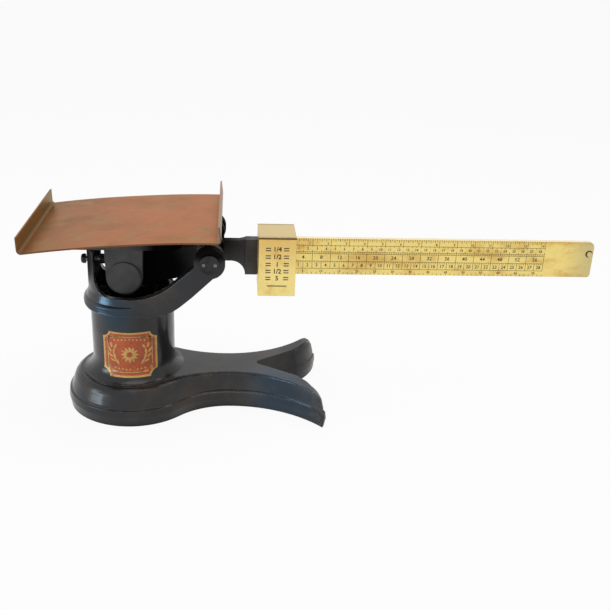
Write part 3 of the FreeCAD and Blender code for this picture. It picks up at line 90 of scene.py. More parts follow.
class ScaleColourSettings(bpy.types.PropertyGroup):
    """Colours of the finishes."""
    japan: colour_setting("Japan", "Black japan on the castings", (0.016, 0.0165, 0.019))
    japan_brown: colour_setting("Brown japan", "Thin or aged japan", (0.042, 0.033, 0.027))
    bare_iron: colour_setting("Bare iron", "Edges worn through the japan", (0.15, 0.105, 0.07))
    worn_toe: colour_setting("Worn toe", "Rubbed ends of the feet", (0.1, 0.062, 0.042))
    steel: colour_setting("Steel", "Bare steel", (0.42, 0.41, 0.39))
    screw_steel: colour_setting("Screw steel", "Dull heads of the small screws", (0.2, 0.19, 0.175))
    dark_steel: colour_setting("Dark steel", "Blackened steel", (0.038, 0.038, 0.04))
    bar_brass: colour_setting("Bar brass", "Lacquered brass of the bar", (0.9, 0.71, 0.235))
    bar_tarnish: colour_setting("Bar tarnish", "Tarnish on the bar", (0.62, 0.34, 0.075))
    poise_brass: colour_setting("Poise brass", "Polished brass of the poise", (0.93, 0.74, 0.27))
    poise_warm: colour_setting("Warm poise brass", "Upper part of the poise's faces", (0.78, 0.52, 0.16))
    pan_copper: colour_setting("Pan copper", "Bright copper colour of the pan", (0.4, 0.15, 0.064))
    pan_tarnish: colour_setting("Pan tarnish", "Dull brown of the pan", (0.21, 0.104, 0.038))
    badge_red: colour_setting("Badge red", "Orange-red field of the badge", (0.44, 0.08, 0.02))
    badge_gold: colour_setting("Badge gold", "Gold border of the badge", (0.54, 0.32, 0.09))
    badge_dark: colour_setting("Badge outline", "Dark outline of the badge", (0.045, 0.028, 0.018))
    ink: colour_setting("Ink", "Fill of the engraved marks", (0.03, 0.018, 0.008))
    matt_black: colour_setting("Matt black", "Dull black of the beam and the carrier", (0.086, 0.082, 0.08))


class ScaleStageSettings(bpy.types.PropertyGroup):
    """Camera, floor and lights."""
    camera_place: bpy.props.FloatVectorProperty(
        name="Camera place", description="Where the camera stands", size=3, subtype="TRANSLATION",
        unit="LENGTH", default=(56.53 * MM, -470.88 * MM, 258.37 * MM))
    yaw: bpy.props.FloatProperty(name="Yaw", description="Turn to the right", subtype="ANGLE",
                                 default=math.radians(5.40))
    pitch: bpy.props.FloatProperty(name="Pitch", description="Look down", subtype="ANGLE",
                                   default=math.radians(22.73))
    roll: bpy.props.FloatProperty(name="Roll", description="Lean of the camera", subtype="ANGLE",
                                  default=math.radians(2.56))
    lens: bpy.props.FloatProperty(name="Lens", description="Focal length on a 36 mm sensor", unit="CAMERA",
                                  default=50.9)
    floor_colour: colour_setting("Floor", "Colour of the floor", (0.78, 0.78, 0.78))
    room_light: bpy.props.FloatProperty(name="Room light", description="Strength of the even light",
                                        default=0.9, min=0.0)
    window_light: bpy.props.FloatProperty(name="Window light", description="Power of the cool lamp on the left",
                                          default=3.0, min=0.0, unit="POWER")
    low_light: bpy.props.FloatProperty(name="Low light", description="Power of the small lamp in front on the left",
                                       default=0.55, min=0.0, unit="POWER")
    top_light: bpy.props.FloatProperty(name="Top light", description="Power of the lamp overhead",
                                       default=3.6, min=0.0, unit="POWER")


# Working with objects

def deselect():
    bpy.ops.object.select_all(action="DESELECT")


def make_active(piece):
    deselect()
    piece.select_set(True)
    bpy.context.view_layer.objects.active = piece


def apply_place(piece):
    make_active(piece)
    bpy.ops.object.transform_apply(location=True, rotation=True, scale=True)


def apply_modifier(piece, kind, **settings):
    make_active(piece)
    modifier = piece.modifiers.new(kind.title(), kind)
    for name, value in settings.items():
        setattr(modifier, name, value)
    bpy.ops.object.modifier_apply(modifier=modifier.name)


def join(pieces, name):
    deselect()
    for piece in pieces:
        piece.select_set(True)
    bpy.context.view_layer.objects.active = pieces[0]
    bpy.ops.object.join()
    whole = bpy.context.active_object
    whole.name = name
    whole.data.name = name
    return whole


def settle(piece, body, material):
    """Gives a finished piece its finish and the body that it moves with."""
    if material is not None:
        piece.data.materials.clear()
        piece.data.materials.append(material)
    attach(piece, body)
    return piece


def paint(node, material):
    """Gives a CAD node a finish."""
    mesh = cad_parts[node].data
    if not mesh.materials:
        mesh.materials.append(material)
    for place in range(len(mesh.materials)):
        mesh.materials[place] = material


# Finishes

class Finish:
    """A material under construction: nodes are added by name and linked by their sockets."""

    def __init__(self, name):
        self.material = bpy.data.materials.new(name)
        self.material.use_nodes = True
        self.tree = self.material.node_tree
        self.tree.nodes.clear()
        self.output = self.add("ShaderNodeOutputMaterial")
        self.surface = self.add("ShaderNodeBsdfPrincipled")
        self.tree.links.new(self.surface.outputs[0], self.output.inputs["Surface"])
        self.places = self.add("ShaderNodeTexCoord").outputs["Object"]

    def add(self, kind, sockets=None, **settings):
        node = self.tree.nodes.new(kind)
        for name, value in settings.items():
            setattr(node, name, value)
        for name, value in (sockets or {}).items():
            self.feed(node.inputs[name], value)
        return node

    def feed(self, socket, value):
        if isinstance(value, bpy.types.NodeSocket):
            self.tree.links.new(value, socket)
        elif isinstance(value, (tuple, list)) and len(value) == 3 and socket.type == "RGBA":
            socket.default_value = (*value, 1.0)
        else:
            socket.default_value = value

    def set(self, **values):
        for name, value in values.items():
            self.feed(self.surface.inputs[name.replace("_", " ").title().replace("Ior", "IOR")], value)

    def noise(self, size, detail=3.0, rough=0.55, stretch=(1, 1, 1), places=None):
        """Noise whose grain is about size metres, drawn out along an axis by stretch."""
        scale = tuple(1.0 / (size * part) for part in stretch)
        mapping = self.add("ShaderNodeMapping", {"Vector": places or self.places, "Scale": scale})
        return self.add("ShaderNodeTexNoise", {"Vector": mapping.outputs[0], "Scale": 1.0, "Detail": detail,
                                               "Roughness": rough}).outputs["Fac"]

    def ramp(self, value, low, high, start=0.0, end=1.0):
        """Smooth step of a value from start at low to end at high."""
        return self.add("ShaderNodeMapRange", {"Value": value, "From Min": low, "From Max": high,
                                               "To Min": start, "To Max": end},
                        interpolation_type="SMOOTHSTEP").outputs[0]

    def mix(self, share, first, second):
        node = self.add("ShaderNodeMix", data_type="RGBA")
        self.feed(node.inputs[0], share)
        self.feed(node.inputs[6], first)
        self.feed(node.inputs[7], second)
        return node.outputs[2]

    def math(self, operation, first, second=0.0, third=0.0):
        node = self.add("ShaderNodeMath", operation=operation)
        self.feed(node.inputs[0], first)
        self.feed(node.inputs[1], second)
        self.feed(node.inputs[2], third)
        return node.outputs[0]

    def facing(self, axis):
        """How far the surface looks along an axis, from -1 to 1."""
        return self.part(self.add("ShaderNodeNewGeometry").outputs["Normal"], axis)

    def part(self, vector, axis):
        return self.add("ShaderNodeSeparateXYZ", {"Vector": vector}).outputs[axis]

    def soft_edges(self, radius):
        return self.add("ShaderNodeBevel", {"Radius": radius}, samples=6).outputs[0]

    def worn_edges(self, radius):
        """Near 1 on sharp edges, 0 on flat places."""
        plain = self.add("ShaderNodeNewGeometry").outputs["Normal"]
        bent = self.soft_edges(radius)
        agree = self.add("ShaderNodeVectorMath", {0: plain, 1: bent}, operation="DOT_PRODUCT")
        return self.ramp(agree.outputs["Value"], 0.995, 0.86)

    def recess(self, reach):
        """Near 1 deep between other surfaces, 0 where the surface is open."""
        node = self.add("ShaderNodeAmbientOcclusion", {"Distance": reach}, samples=8)
        return self.ramp(node.outputs["AO"], 0.62, 0.22)

    def near(self, place, reach):
        """1 at a place on the object, 0 from reach on."""
        away = self.add("ShaderNodeVectorMath", {0: self.places, 1: place}, operation="DISTANCE")
        return self.ramp(away.outputs["Value"], reach, reach * 0.4)

    def sheltered_yoke(self):
        """Painted shade mask: near 1 on the yoke's upright, its collar's inside, the crowns of its arms and the inner
        side of its rear arm, 0 elsewhere."""
        upright = self.near((-22 * MM, 0, 92 * MM), 24 * MM)
        rear = self.math("MULTIPLY", self.ramp(self.part(self.places, 1), 12 * MM, 18 * MM),
                         self.ramp(self.part(self.places, 2), 64 * MM, 72 * MM))
        rear = self.math("MULTIPLY", rear, self.ramp(self.facing(1), 0.7, 0.4))
        within = self.math("MULTIPLY", self.near((0, 0, 69 * MM), 30 * MM), self.ramp(self.facing(2), 0.6, 0.9))
        crowns = self.ramp(self.part(self.places, 2), 97 * MM, 103 * MM)
        sides = self.math("MAXIMUM", self.math("MAXIMUM", upright, rear), crowns)
        return self.math("MAXIMUM", self.math("MULTIPLY", sides, 0.95), within)

    def bump(self, height, distance, strength=1.0, normal=None):
        sockets = {"Height": height, "Distance": distance, "Strength": strength}
        if normal is not None:
            sockets["Normal"] = normal
        return self.add("ShaderNodeBump", sockets).outputs[0]


def japan_finish(colours):
    """Black japan over cast iron: glossy, aged brown in places, rubbed at edges and toes, with painted shade,
    near black and dull, in recesses and on the yoke's shaded places, a painted highlight on the front foot's edges
    and a painted blue sheen on the collar and the front foot.
    """
    finish = Finish("black_japan")
    patches = finish.ramp(finish.noise(24 * MM, 4), 0.48, 0.7)
    base = finish.mix(patches, tuple(colours.japan), tuple(colours.japan_brown))
    chips = finish.ramp(finish.noise(4.5 * MM, 5, 0.65), 0.47, 0.62)
    wear = finish.math("MULTIPLY", finish.worn_edges(0.9 * MM), finish.math("MULTIPLY", chips, 0.75))
    base = finish.mix(wear, base, tuple(colours.bare_iron))
    toes = finish.ramp(finish.part(finish.places, 0), 98 * MM, 114 * MM)
    toes = finish.math("MULTIPLY", toes, finish.ramp(finish.noise(3.2 * MM, 5, 0.65), 0.46, 0.66))
    base = finish.mix(toes, base, tuple(colours.worn_toe))
    rub = finish.math("MULTIPLY", finish.near((-27 * MM, -4 * MM, 65 * MM), 5 * MM), chips)
    base = finish.mix(rub, base, (0.42, 0.32, 0.19))
    # Painted highlight: pale blue-grey on the sharp edges of the front foot.
    painted_glint = finish.math("MULTIPLY", finish.near((92 * MM, -26 * MM, 18 * MM), 24 * MM), finish.worn_edges(0.5 * MM))
    base = finish.mix(finish.math("MULTIPLY", painted_glint, 0.6), base, (0.3, 0.36, 0.44))
    # Painted shade: recesses and the yoke's shaded places turn near black, rougher and less reflective.
    painted_shade = finish.math("MAXIMUM", finish.recess(11 * MM), finish.sheltered_yoke())
    base = finish.mix(painted_shade, base, (0.004, 0.0035, 0.003))
    # Painted sheen: a stronger, blue-tinted reflection on the collar's bead and on the front foot.
    painted_sheen = finish.math("MAXIMUM", finish.near((-10 * MM, -25 * MM, 64 * MM), 18 * MM),
                        finish.near((90 * MM, -24 * MM, 14 * MM), 34 * MM))
    gloss = finish.ramp(finish.noise(9 * MM, 4), 0.3, 0.75, 0.14, 0.28)
    gloss = finish.math("MAXIMUM", gloss, finish.math("MULTIPLY", painted_shade, 0.85))
    gloss = finish.math("ADD", gloss, finish.math("MULTIPLY", toes, 0.3))
    collar = finish.math("MULTIPLY", finish.ramp(finish.part(finish.places, 2), 67 * MM, 63 * MM),
                         finish.near((0, 0, 64 * MM), 60 * MM))
    bead = finish.bump(collar, 1.9 * MM, 1.0, finish.soft_edges(0.7 * MM))
    peel = finish.bump(finish.noise(1.3 * MM, 3), 0.05 * MM, 0.35, bead)
    skin = finish.bump(finish.noise(8 * MM, 2), 0.3 * MM, 0.35, peel)
    finish.set(base_color=base, roughness=gloss, normal=skin)
    # Specular level: lower in the painted shade and towards the ends of the feet, higher in the painted sheen.
    far = finish.ramp(finish.part(finish.places, 0), 78 * MM, 104 * MM)
    shine = finish.math("MULTIPLY_ADD", painted_shade, -0.36, finish.math("MULTIPLY_ADD", far, -0.14, 0.38))
    finish.set(specular_ior_level=finish.math("MULTIPLY_ADD", painted_sheen, 0.3, shine),
               specular_tint=finish.mix(painted_sheen, (1.0, 0.98, 0.96), (0.45, 0.72, 1.0)))
    return finish.material


def matt_black_finish(name, colours, shaded_places):
    """Dull black over cast iron, with painted shade, near black, in recesses and within reach of the shaded places.
    """
    finish = Finish(name)
    cloud = finish.ramp(finish.noise(11 * MM, 4), 0.35, 0.7)
    base = finish.mix(cloud, tuple(colours.matt_black), tuple(part * 0.75 for part in colours.matt_black))
    chips = finish.ramp(finish.noise(3 * MM, 5, 0.65), 0.5, 0.64)
    wear = finish.math("MULTIPLY", finish.worn_edges(0.5 * MM), finish.math("MULTIPLY", chips, 0.5))
    base = finish.mix(wear, base, tuple(colours.bare_iron))
    # Painted shade: near black and less reflective in recesses and near the shaded places.
    painted_shade = finish.recess(9 * MM)
    for place, reach in shaded_places:
        painted_shade = finish.math("MAXIMUM", painted_shade, finish.near(place, reach))
    base = finish.mix(painted_shade, base, (0.004, 0.0035, 0.0035))
    grain = finish.noise(0.9 * MM, 4, 0.6)
    finish.set(base_color=base, roughness=finish.ramp(cloud, 0.0, 1.0, 0.5, 0.68),
               specular_ior_level=finish.math("MULTIPLY_ADD", painted_shade, -0.16, 0.16),
               normal=finish.bump(grain, 0.05 * MM, 0.5, finish.soft_edges(0.5 * MM)))
    return finish.material


def iron_finish(colours):
    """Bare cast iron of the poise's filling."""
    finish = Finish("bare_iron")
    grain = finish.noise(1.2 * MM, 5, 0.6)
    base = finish.mix(finish.ramp(grain, 0.35, 0.7), (0.06, 0.055, 0.05), tuple(colours.bare_iron))
    finish.set(base_color=base, metallic=0.6, roughness=0.6,
               normal=finish.bump(grain, 0.1 * MM, 0.8))
    return finish.material


def steel_finish(name, colour, low, high, metallic=0.9):
    """Turned or drawn steel with fine grain."""
    finish = Finish(name)
    grain = finish.noise(0.25 * MM, 2, 0.5, (12, 1, 1))
    stain = finish.ramp(finish.noise(5 * MM, 4), 0.42, 0.75)
    dull = tuple(part * 0.45 for part in colour)
    finish.set(base_color=finish.mix(stain, tuple(colour), dull), metallic=metallic,
               roughness=finish.ramp(grain, 0.2, 0.8, low, high),
               normal=finish.bump(grain, 0.01 * MM, 0.4, finish.soft_edges(0.15 * MM)))
    return finish.material


def bar_finish(colours):
    """Drawn brass, brushed along its length, with orange tarnish in patches and a painted highlight, paler, on its
    upward faces.
    """
    finish = Finish("bar_brass")
    brush = finish.noise(0.22 * MM, 3, 0.6, (60, 1, 1))
    cloud = finish.noise(15 * MM, 4, 0.6, (1.6, 1, 0.7))
    spots = finish.ramp(finish.noise(1.4 * MM, 4, 0.6, (2, 1, 1)), 0.56, 0.72)
    tarnish = finish.math("ADD", finish.ramp(cloud, 0.45, 0.68, 0.0, 0.7), finish.math("MULTIPLY", spots, 0.5))
    rims = finish.ramp(finish.part(finish.places, 2), 99.5 * MM, 102.5 * MM, 0.0, 0.3)
    base = finish.mix(finish.math("ADD", tarnish, rims), tuple(colours.bar_brass), tuple(colours.bar_tarnish))
    tip = finish.ramp(finish.part(finish.places, 0), 252 * MM, 270 * MM, 0.0, 0.6)
    base = finish.mix(tip, base, (0.5, 0.43, 0.24))
    # Painted highlight: the upward faces are paler.
    edge = finish.ramp(finish.facing(2), 0.5, 0.9, 0.0, 0.85)
    base = finish.mix(edge, base, (0.9, 0.8, 0.56))
    finish.set(base_color=base, metallic=0.8, roughness=finish.ramp(brush, 0.25, 0.8, 0.28, 0.44),
               normal=finish.bump(brush, 0.012 * MM, 0.5, finish.soft_edges(0.2 * MM)))
    return finish.material


def poise_finish(colours):
    """Polished sheet brass, warmer towards the top, with finger marks and dull edges."""
    finish = Finish("poise_brass")
    brush = finish.noise(0.3 * MM, 3, 0.6, (1, 1, 40))
    cloud = finish.noise(9 * MM, 4, 0.6)
    warm = finish.ramp(finish.part(finish.places, 2), 82 * MM, 105 * MM, 0.0, 0.9)
    base = finish.mix(warm, tuple(colours.poise_brass), tuple(colours.poise_warm))
    base = finish.mix(finish.ramp(cloud, 0.47, 0.74, 0.0, 0.5), base, tuple(colours.bar_tarnish))
    # Painted shade: the upward faces are duller and darker.
    roof = finish.ramp(finish.facing(2), 0.6, 0.9, 0.0, 0.8)
    base = finish.mix(roof, base, (0.62, 0.48, 0.21))
    edge = finish.math("MULTIPLY", finish.worn_edges(0.35 * MM), 0.45)
    base = finish.mix(edge, base, (0.36, 0.21, 0.07))
    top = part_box("poise_front_plate")[1].z
    seam = finish.math("MULTIPLY", finish.ramp(finish.part(finish.places, 2), top - 1.3 * MM, top - 0.9 * MM),
                       finish.ramp(finish.facing(1), -0.5, -0.8))
    base = finish.mix(seam, base, (0.13, 0.075, 0.02))
    finish.set(base_color=base, metallic=0.8, roughness=finish.ramp(brush, 0.25, 0.8, 0.24, 0.38),
               normal=finish.bump(brush, 0.012 * MM, 0.4, finish.soft_edges(0.3 * MM)))
    return finish.material


def pan_finish(colours):
    """Copper-coloured sheet, dull and olive at the left, with cloudy patches, streaks and rubbed edges, and with
    painted shade along its bends, in its recesses and on the front and back edge faces of the sheet.
    """
    finish = Finish("pan_copper")
    along = finish.part(finish.places, 0)
    cloud = finish.noise(24 * MM, 5, 0.6)
    streaks = finish.noise(2.2 * MM, 4, 0.6, (3, 1, 1))
    dull = finish.math("ADD", finish.ramp(along, 10 * MM, -52 * MM, 0.0, 0.6),
                       finish.ramp(cloud, 0.42, 0.7, 0.0, 0.5))
    base = finish.mix(dull, tuple(colours.pan_copper), tuple(colours.pan_tarnish))
    green = finish.ramp(finish.noise(15 * MM, 4, 0.6), 0.48, 0.72, 0.0, 0.55)
    base = finish.mix(green, base, (0.30, 0.21, 0.09))
    fleck = finish.ramp(finish.noise(1.1 * MM, 4, 0.65), 0.6, 0.75, 0.0, 0.3)
    base = finish.mix(fleck, base, (0.16, 0.08, 0.035))
    sideways = finish.facing(0)
    base = finish.mix(finish.ramp(sideways, -0.16, -0.6, 0.0, 0.8), base, (0.22, 0.15, 0.045))
    base = finish.mix(finish.ramp(sideways, 0.16, 0.6, 0.0, 0.85), base, (0.25, 0.175, 0.05))
    # Painted shade along the bends, where the sheet turns between level and steep.
    steep = finish.math("ABSOLUTE", sideways)
    fold = finish.math("MULTIPLY", finish.ramp(steep, 0.16, 0.3), finish.ramp(steep, 0.97, 0.85, 0.0, 0.8))
    base = finish.mix(fold, base, (0.1, 0.06, 0.026))
    right_end = finish.ramp(along, 49.5 * MM, 50.5 * MM, 0.0, 0.7)
    base = finish.mix(right_end, base, (0.3, 0.25, 0.21))
    # Painted shade in recesses.
    base = finish.mix(finish.math("MULTIPLY", finish.recess(5 * MM), 0.6), base, (0.08, 0.045, 0.018))
    # Painted shade on the front and back edge faces of the sheet.
    edge_face_shade = finish.ramp(finish.math("ABSOLUTE", finish.facing(1)), 0.6, 0.9, 0.0, 0.8)
    base = finish.mix(edge_face_shade, base, (0.15, 0.07, 0.035))
    edge = finish.math("MULTIPLY", finish.worn_edges(0.3 * MM), 0.55)
    rim = finish.mix(finish.ramp(along, 30 * MM, 44 * MM), (0.1, 0.05, 0.025), (0.62, 0.4, 0.17))
    base = finish.mix(edge, base, rim)
    finish.set(base_color=base, metallic=0.8, specular_ior_level=0.1, specular_tint=(0.98, 0.86, 0.78, 1.0),
               roughness=finish.ramp(streaks, 0.3, 0.75, 0.4, 0.45), normal=finish.bump(streaks, 0.02 * MM, 0.15))
    return finish.material


def badge_finish(name, colour, metallic):
    """Old transfer: printed colour, crazed and rubbed through to the japan."""
    finish = Finish(name)
    rubbed = finish.ramp(finish.noise(1.3 * MM, 6, 0.7), 0.57, 0.64)
    tone = finish.ramp(finish.noise(5 * MM, 4, 0.6), 0.35, 0.7)
    light = tuple(min(part * 1.25, 1.0) for part in colour)
    base = finish.mix(tone, tuple(colour), light)
    base = finish.mix(finish.math("MULTIPLY", rubbed, 0.85), base, (0.05, 0.035, 0.025))
    finish.set(base_color=base, metallic=metallic, roughness=0.42,
               normal=finish.bump(finish.noise(0.5 * MM, 4, 0.6), 0.02 * MM, 0.6))
    return finish.material


def ink_finish(colours):
    """Dark wax in the engraved marks, thin in places."""
    finish = Finish("mark_fill")
    thin = finish.ramp(finish.noise(3 * MM, 4, 0.6), 0.4, 0.66, 0.0, 0.35)
    base = finish.mix(thin, tuple(colours.ink), (0.26, 0.15, 0.045))
    finish.set(base_color=base, roughness=0.6, normal=finish.bump(finish.noise(0.3 * MM), 0.01 * MM, 0.5))
    return finish.material


FINISHES = {}


def finish_named(name, context):
    """The finish of that name, made once."""
    if name not in FINISHES:
        colours = context.scene.scale_colours
        makers = {
            "japan": lambda: japan_finish(colours),
            # The places below get painted shade in the matt black of the beam and the carrier, under the pan and in
            # the beam's fork.
            "beam_black": lambda: matt_black_finish("beam_black", colours, (
                ((12 * MM, 0, 86 * MM), 44 * MM), ((50 * MM, -12 * MM, 104 * MM), 16 * MM),
                ((50 * MM, 10 * MM, 103 * MM), 24 * MM))),
            "carrier_black": lambda: matt_black_finish("carrier_black", colours, (
                ((26 * MM, -28 * MM, 106 * MM), 24 * MM),)),
            "iron": lambda: iron_finish(colours),
            "steel": lambda: steel_finish("bare_steel", colours.steel, 0.25, 0.4),
            "dark_steel": lambda: steel_finish("blackened_steel", colours.dark_steel, 0.35, 0.55),
            "bar": lambda: bar_finish(colours),
            "poise": lambda: poise_finish(colours),
            "pan": lambda: pan_finish(colours),
            "screw": lambda: steel_finish("screw_steel", colours.screw_steel, 0.35, 0.5, 0.8),
            "badge_dark": lambda: badge_finish("badge_outline", colours.badge_dark, 0.0),
            "badge_red": lambda: badge_finish("badge_red", colours.badge_red, 0.0),
            "badge_gold": lambda: badge_finish("badge_gold", colours.badge_gold, 0.35),
            "ink": lambda: ink_finish(colours),
        }
        FINISHES[name] = makers[name]()
    return FINISHES[name]


class ScaleOperator:
    """What all the operators of this file share."""
    bl_options = {"REGISTER", "UNDO"}

    @classmethod
    def poll(cls, context):
        return context.mode == "OBJECT"


class SCALE_OT_japan_castings(ScaleOperator, bpy.types.Operator):
    """Japan the iron castings of the stand, the beam and the pan's carrier"""
    bl_idname = "scale.japan_castings"
    bl_label = "Japan the castings"

    def execute(self, context):
        for node in ("base_casting", "yoke"):
            paint(node, finish_named("japan", context))
        for node in ("beam_casting", "bar_rivets"):
            paint(node, finish_named("beam_black", context))
        paint("carrier_casting", finish_named("carrier_black", context))
        paint("poise_filler", finish_named("iron", context))
        return {"FINISHED"}


class SCALE_OT_finish_steel(ScaleOperator, bpy.types.Operator):
    """Finish the knives, bearings, screws, rods and links"""
    bl_idname = "scale.finish_steel"
    bl_label = "Finish the steel"

    bright = ("fulcrum_bearing_front", "fulcrum_bearing_rear", "load_bearing_front",
              "load_bearing_rear", "fulcrum_knife", "load_knife_front", "load_knife_rear", "tail_rod",
              "poise_spring")
    dark = ("yoke_screws", "fulcrum_cap_front", "fulcrum_cap_rear", "link_bracket", "bracket_screws",
            "bracket_pin", "carrier_stem", "stem_nut", "stem_clevis", "link_pin", "check_link",
            "tail_knob", "balance_nut")

    def execute(self, context):
        for node in self.bright:
            paint(node, finish_named("steel", context))
        for node in self.dark:
            paint(node, finish_named("dark_steel", context))
        paint("cap_screws", finish_named("screw", context))
        return {"FINISHED"}


class SCALE_OT_finish_brass(ScaleOperator, bpy.types.Operator):
    """Finish the bar, its pin and the poise"""
    bl_idname = "scale.finish_brass"
    bl_label = "Finish the brass"

    def execute(self, context):
        for node in ("scale_bar", "stop_pin"):
            paint(node, finish_named("bar", context))
        for node in ("poise_body", "poise_front_plate", "poise_rear_plate"):
            paint(node, finish_named("poise", context))
        return {"FINISHED"}


class SCALE_OT_finish_pan(ScaleOperator, bpy.types.Operator):
    """Finish the pan and its rivets"""
    bl_idname = "scale.finish_pan"
    bl_label = "Finish the pan"

    def execute(self, context):
        for node in ("pan", "pan_rivets"):
            paint(node, finish_named("pan", context))
        return {"FINISHED"}


# Graduations and marks

def strip(left, low, right, high, front, depth):
    """Thin raised strip on a face that looks to the front."""
    bpy.ops.mesh.primitive_cube_add(size=1, location=((left + right) / 2, front - depth / 2, (low + high) / 2))
    piece = bpy.context.active_object
    piece.scale = (right - left, depth, high - low)
    apply_place(piece)
    return piece


def row_of_lines(bar, front, start, step, count, low, high):
    """Upright lines at equal steps along the bar."""
    half = bar.line / 2
    line = strip(start - half, low, start + half, high, front, bar.depth)
    if count > 1:
        apply_modifier(line, "ARRAY", count=count, use_relative_offset=False, use_constant_offset=True,
                       constant_offset_displace=(step, 0, 0))
    return line


def numeral(text, x, z, front, size, depth, stroke):
    """Number on a face that looks to the front, centred at x and z."""
    bpy.ops.object.text_add(location=(0, 0, 0))
    piece = bpy.context.active_object
    piece.data.body = text
    piece.data.size = size
    piece.data.align_x = "CENTER"
    piece.data.align_y = "CENTER"
    piece.data.resolution_u = 2
    piece.data.extrude = depth / 2
    piece.data.offset = stroke
    make_active(piece)
    bpy.ops.object.convert(target="MESH")
    piece = bpy.context.active_object
    piece.rotation_euler = (math.radians(90), 0, 0)
    piece.location = (x, front - depth / 2, z)
    apply_place(piece)
    return piece


class SCALE_OT_graduate_bar(ScaleOperator, bpy.types.Operator):
    """Rule and number the front face of the bar in five rows"""
    bl_idname = "scale.graduate_bar"
    bl_label = "Graduate the bar"

    def execute(self, context):
        bar = context.scene.scale_bar
        low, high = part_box("scale_bar")
        ink = finish_named("ink", context)
        settle(self.rule_lines(bar, low.y, low.z, high.z), "beam", ink)
        settle(self.write_numbers(bar, low.y, high.z), "beam", ink)
        # Painted shadow: a dark ring round the stop pin, in the ink finish.
        settle(self.ring_stop_pin(bar), "beam", ink)
        return {"FINISHED"}

    def rule_lines(self, bar, front, foot, top):
        start, step, count = bar.first_mark, bar.spacing, bar.ounces
        end = start + step * count
        fine, coarse, boxes, halves, low = (top - drop * MM for drop in (4.3, 8.2, 9.3, 13.9, 18.4))
        ticks = (
            (step / 8, 8 * count, top - 1.2 * MM, top - 0.2 * MM),
            (step / 4, 4 * count, top - 2.0 * MM, top - 1.1 * MM),
            (step, count, fine, top - 1.9 * MM),
            (step / 4, 4 * count, fine - 0.9 * MM, fine),
            (step / 2, 2 * count, coarse, coarse + 1.1 * MM),
            (step / 8, 8 * count, boxes, coarse),
            (step, count, halves, boxes),
            (step / 2, 2 * count, low, halves),
            (step / 8, 8 * count, halves - 1.0 * MM, halves),
            (step / 4, 4 * count, foot + 0.2 * MM, foot + 1.3 * MM),
        )
        lines = [row_of_lines(bar, front, start, gap, steps + 1, down, up) for gap, steps, down, up in ticks]
        for z in (fine, coarse, boxes, halves, low):
            lines.append(strip(start, z - bar.line / 2, end, z + bar.line / 2, front, bar.depth))
        return join(lines, "bar_rule_lines")

    def write_numbers(self, bar, front, top):
        step = bar.spacing
        numbers = []
        for place in range(1, bar.ounces + 1):
            x = bar.first_mark + step * (place - 0.5)
            row = ((place, x + step * 0.34, 3.1, 2.1), (place * 2 - 1, x - step / 4, 6.4, 2.1),
                   (place * 2, x + step / 4, 6.4, 2.1), (place * 4, x, 11.6, 3.1),
                   (place * 2 - 1, x - step / 4, 16.4, 2.8), (place * 2, x + step / 4, 16.4, 2.8),
                   (place * 5, x, 20.0, 2.0))
            for value, spot, drop, size in row:
                numbers.append(numeral(str(value), spot, top - drop * MM, front, size * MM, bar.depth,
                                       bar.stroke))
        return join(numbers, "bar_numbers")

    def ring_stop_pin(self, bar):
        """Painted shadow round the stop pin: a dark ring, drawn as a circle whose edge is extruded outwards."""
        low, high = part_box("stop_pin")
        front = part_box("scale_bar")[0].y
        radius = (high.x - low.x) / 2
        bpy.ops.mesh.primitive_circle_add(vertices=40, radius=radius * 1.02, fill_type="NOTHING")
        ring = bpy.context.active_object
        ring.name = "stop_pin_shadow"
        bpy.ops.object.mode_set(mode="EDIT")
        bpy.ops.mesh.select_all(action="SELECT")
        bpy.ops.mesh.extrude_edges_move()
        bpy.ops.transform.resize(value=(1.36, 1.36, 1))
        bpy.ops.mesh.select_all(action="SELECT")
        bpy.ops.mesh.normals_make_consistent(inside=False)
        bpy.ops.object.mode_set(mode="OBJECT")
        ring.rotation_euler = (math.radians(90), 0, 0)
        ring.location = ((low.x + high.x) / 2, front, (low.z + high.z) / 2)
        apply_place(ring)
        apply_modifier(ring, "SOLIDIFY", thickness=bar.depth * 2, offset=0.0)
        return ring


class SCALE_OT_mark_poise(ScaleOperator, bpy.types.Operator):
    """Mark the poise's front plate row by row, and draw the seams of its sheets"""
    bl_idname = "scale.mark_poise"
    bl_label = "Mark the poise"

    def execute(self, context):
        bar = context.scene.scale_bar
        ink = finish_named("ink", context)
        settle(self.write_rows(bar), "poise", ink)
        settle(self.draw_seams(bar), "poise", ink)
        return {"FINISHED"}

    def write_rows(self, bar):
        low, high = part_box("poise_front_plate")
        middle = (low.x + high.x) / 2
        marks = []
        rows = (("1/4", 99.3), ("1/2", 94.8), ("1", 90.3), ("1/2", 86.1), ("5", 81.9))
        for text, z in rows:
            marks.append(numeral(text, middle, z * MM, low.y, 3.8 * MM, bar.depth * 1.5, bar.stroke * 2))
            for side in (-1, 1):
                for shift in (-0.7, 0.7):
                    inner, outer = sorted((middle + side * 3.6 * MM, middle + side * 6.6 * MM))
                    marks.append(strip(inner, (z + shift - 0.3) * MM, outer, (z + shift + 0.3) * MM, low.y,
                                       bar.depth * 1.5))
        marks.append(strip(middle - 5.6 * MM, 77.0 * MM, middle + 5.6 * MM, 77.6 * MM, low.y, bar.depth * 1.5))
        return join(marks, "poise_marks")

    def draw_seams(self, bar):
        """Dark lines where the front and rear plates meet the folded sheet: on its top and both ends."""
        left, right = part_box("poise_body")
        half = 0.2 * MM
        film = bar.depth * 1.5
        seams = []
        for y in (left.y, right.y):
            bpy.ops.mesh.primitive_cube_add(size=1, location=((left.x + right.x) / 2, y, (left.z + right.z) / 2))
            seam = bpy.context.active_object
            seam.scale = (right.x - left.x + 2 * film, 2 * half, right.z - left.z + 2 * film)
            apply_place(seam)
            seams.append(seam)
        return join(seams, "poise_seams")


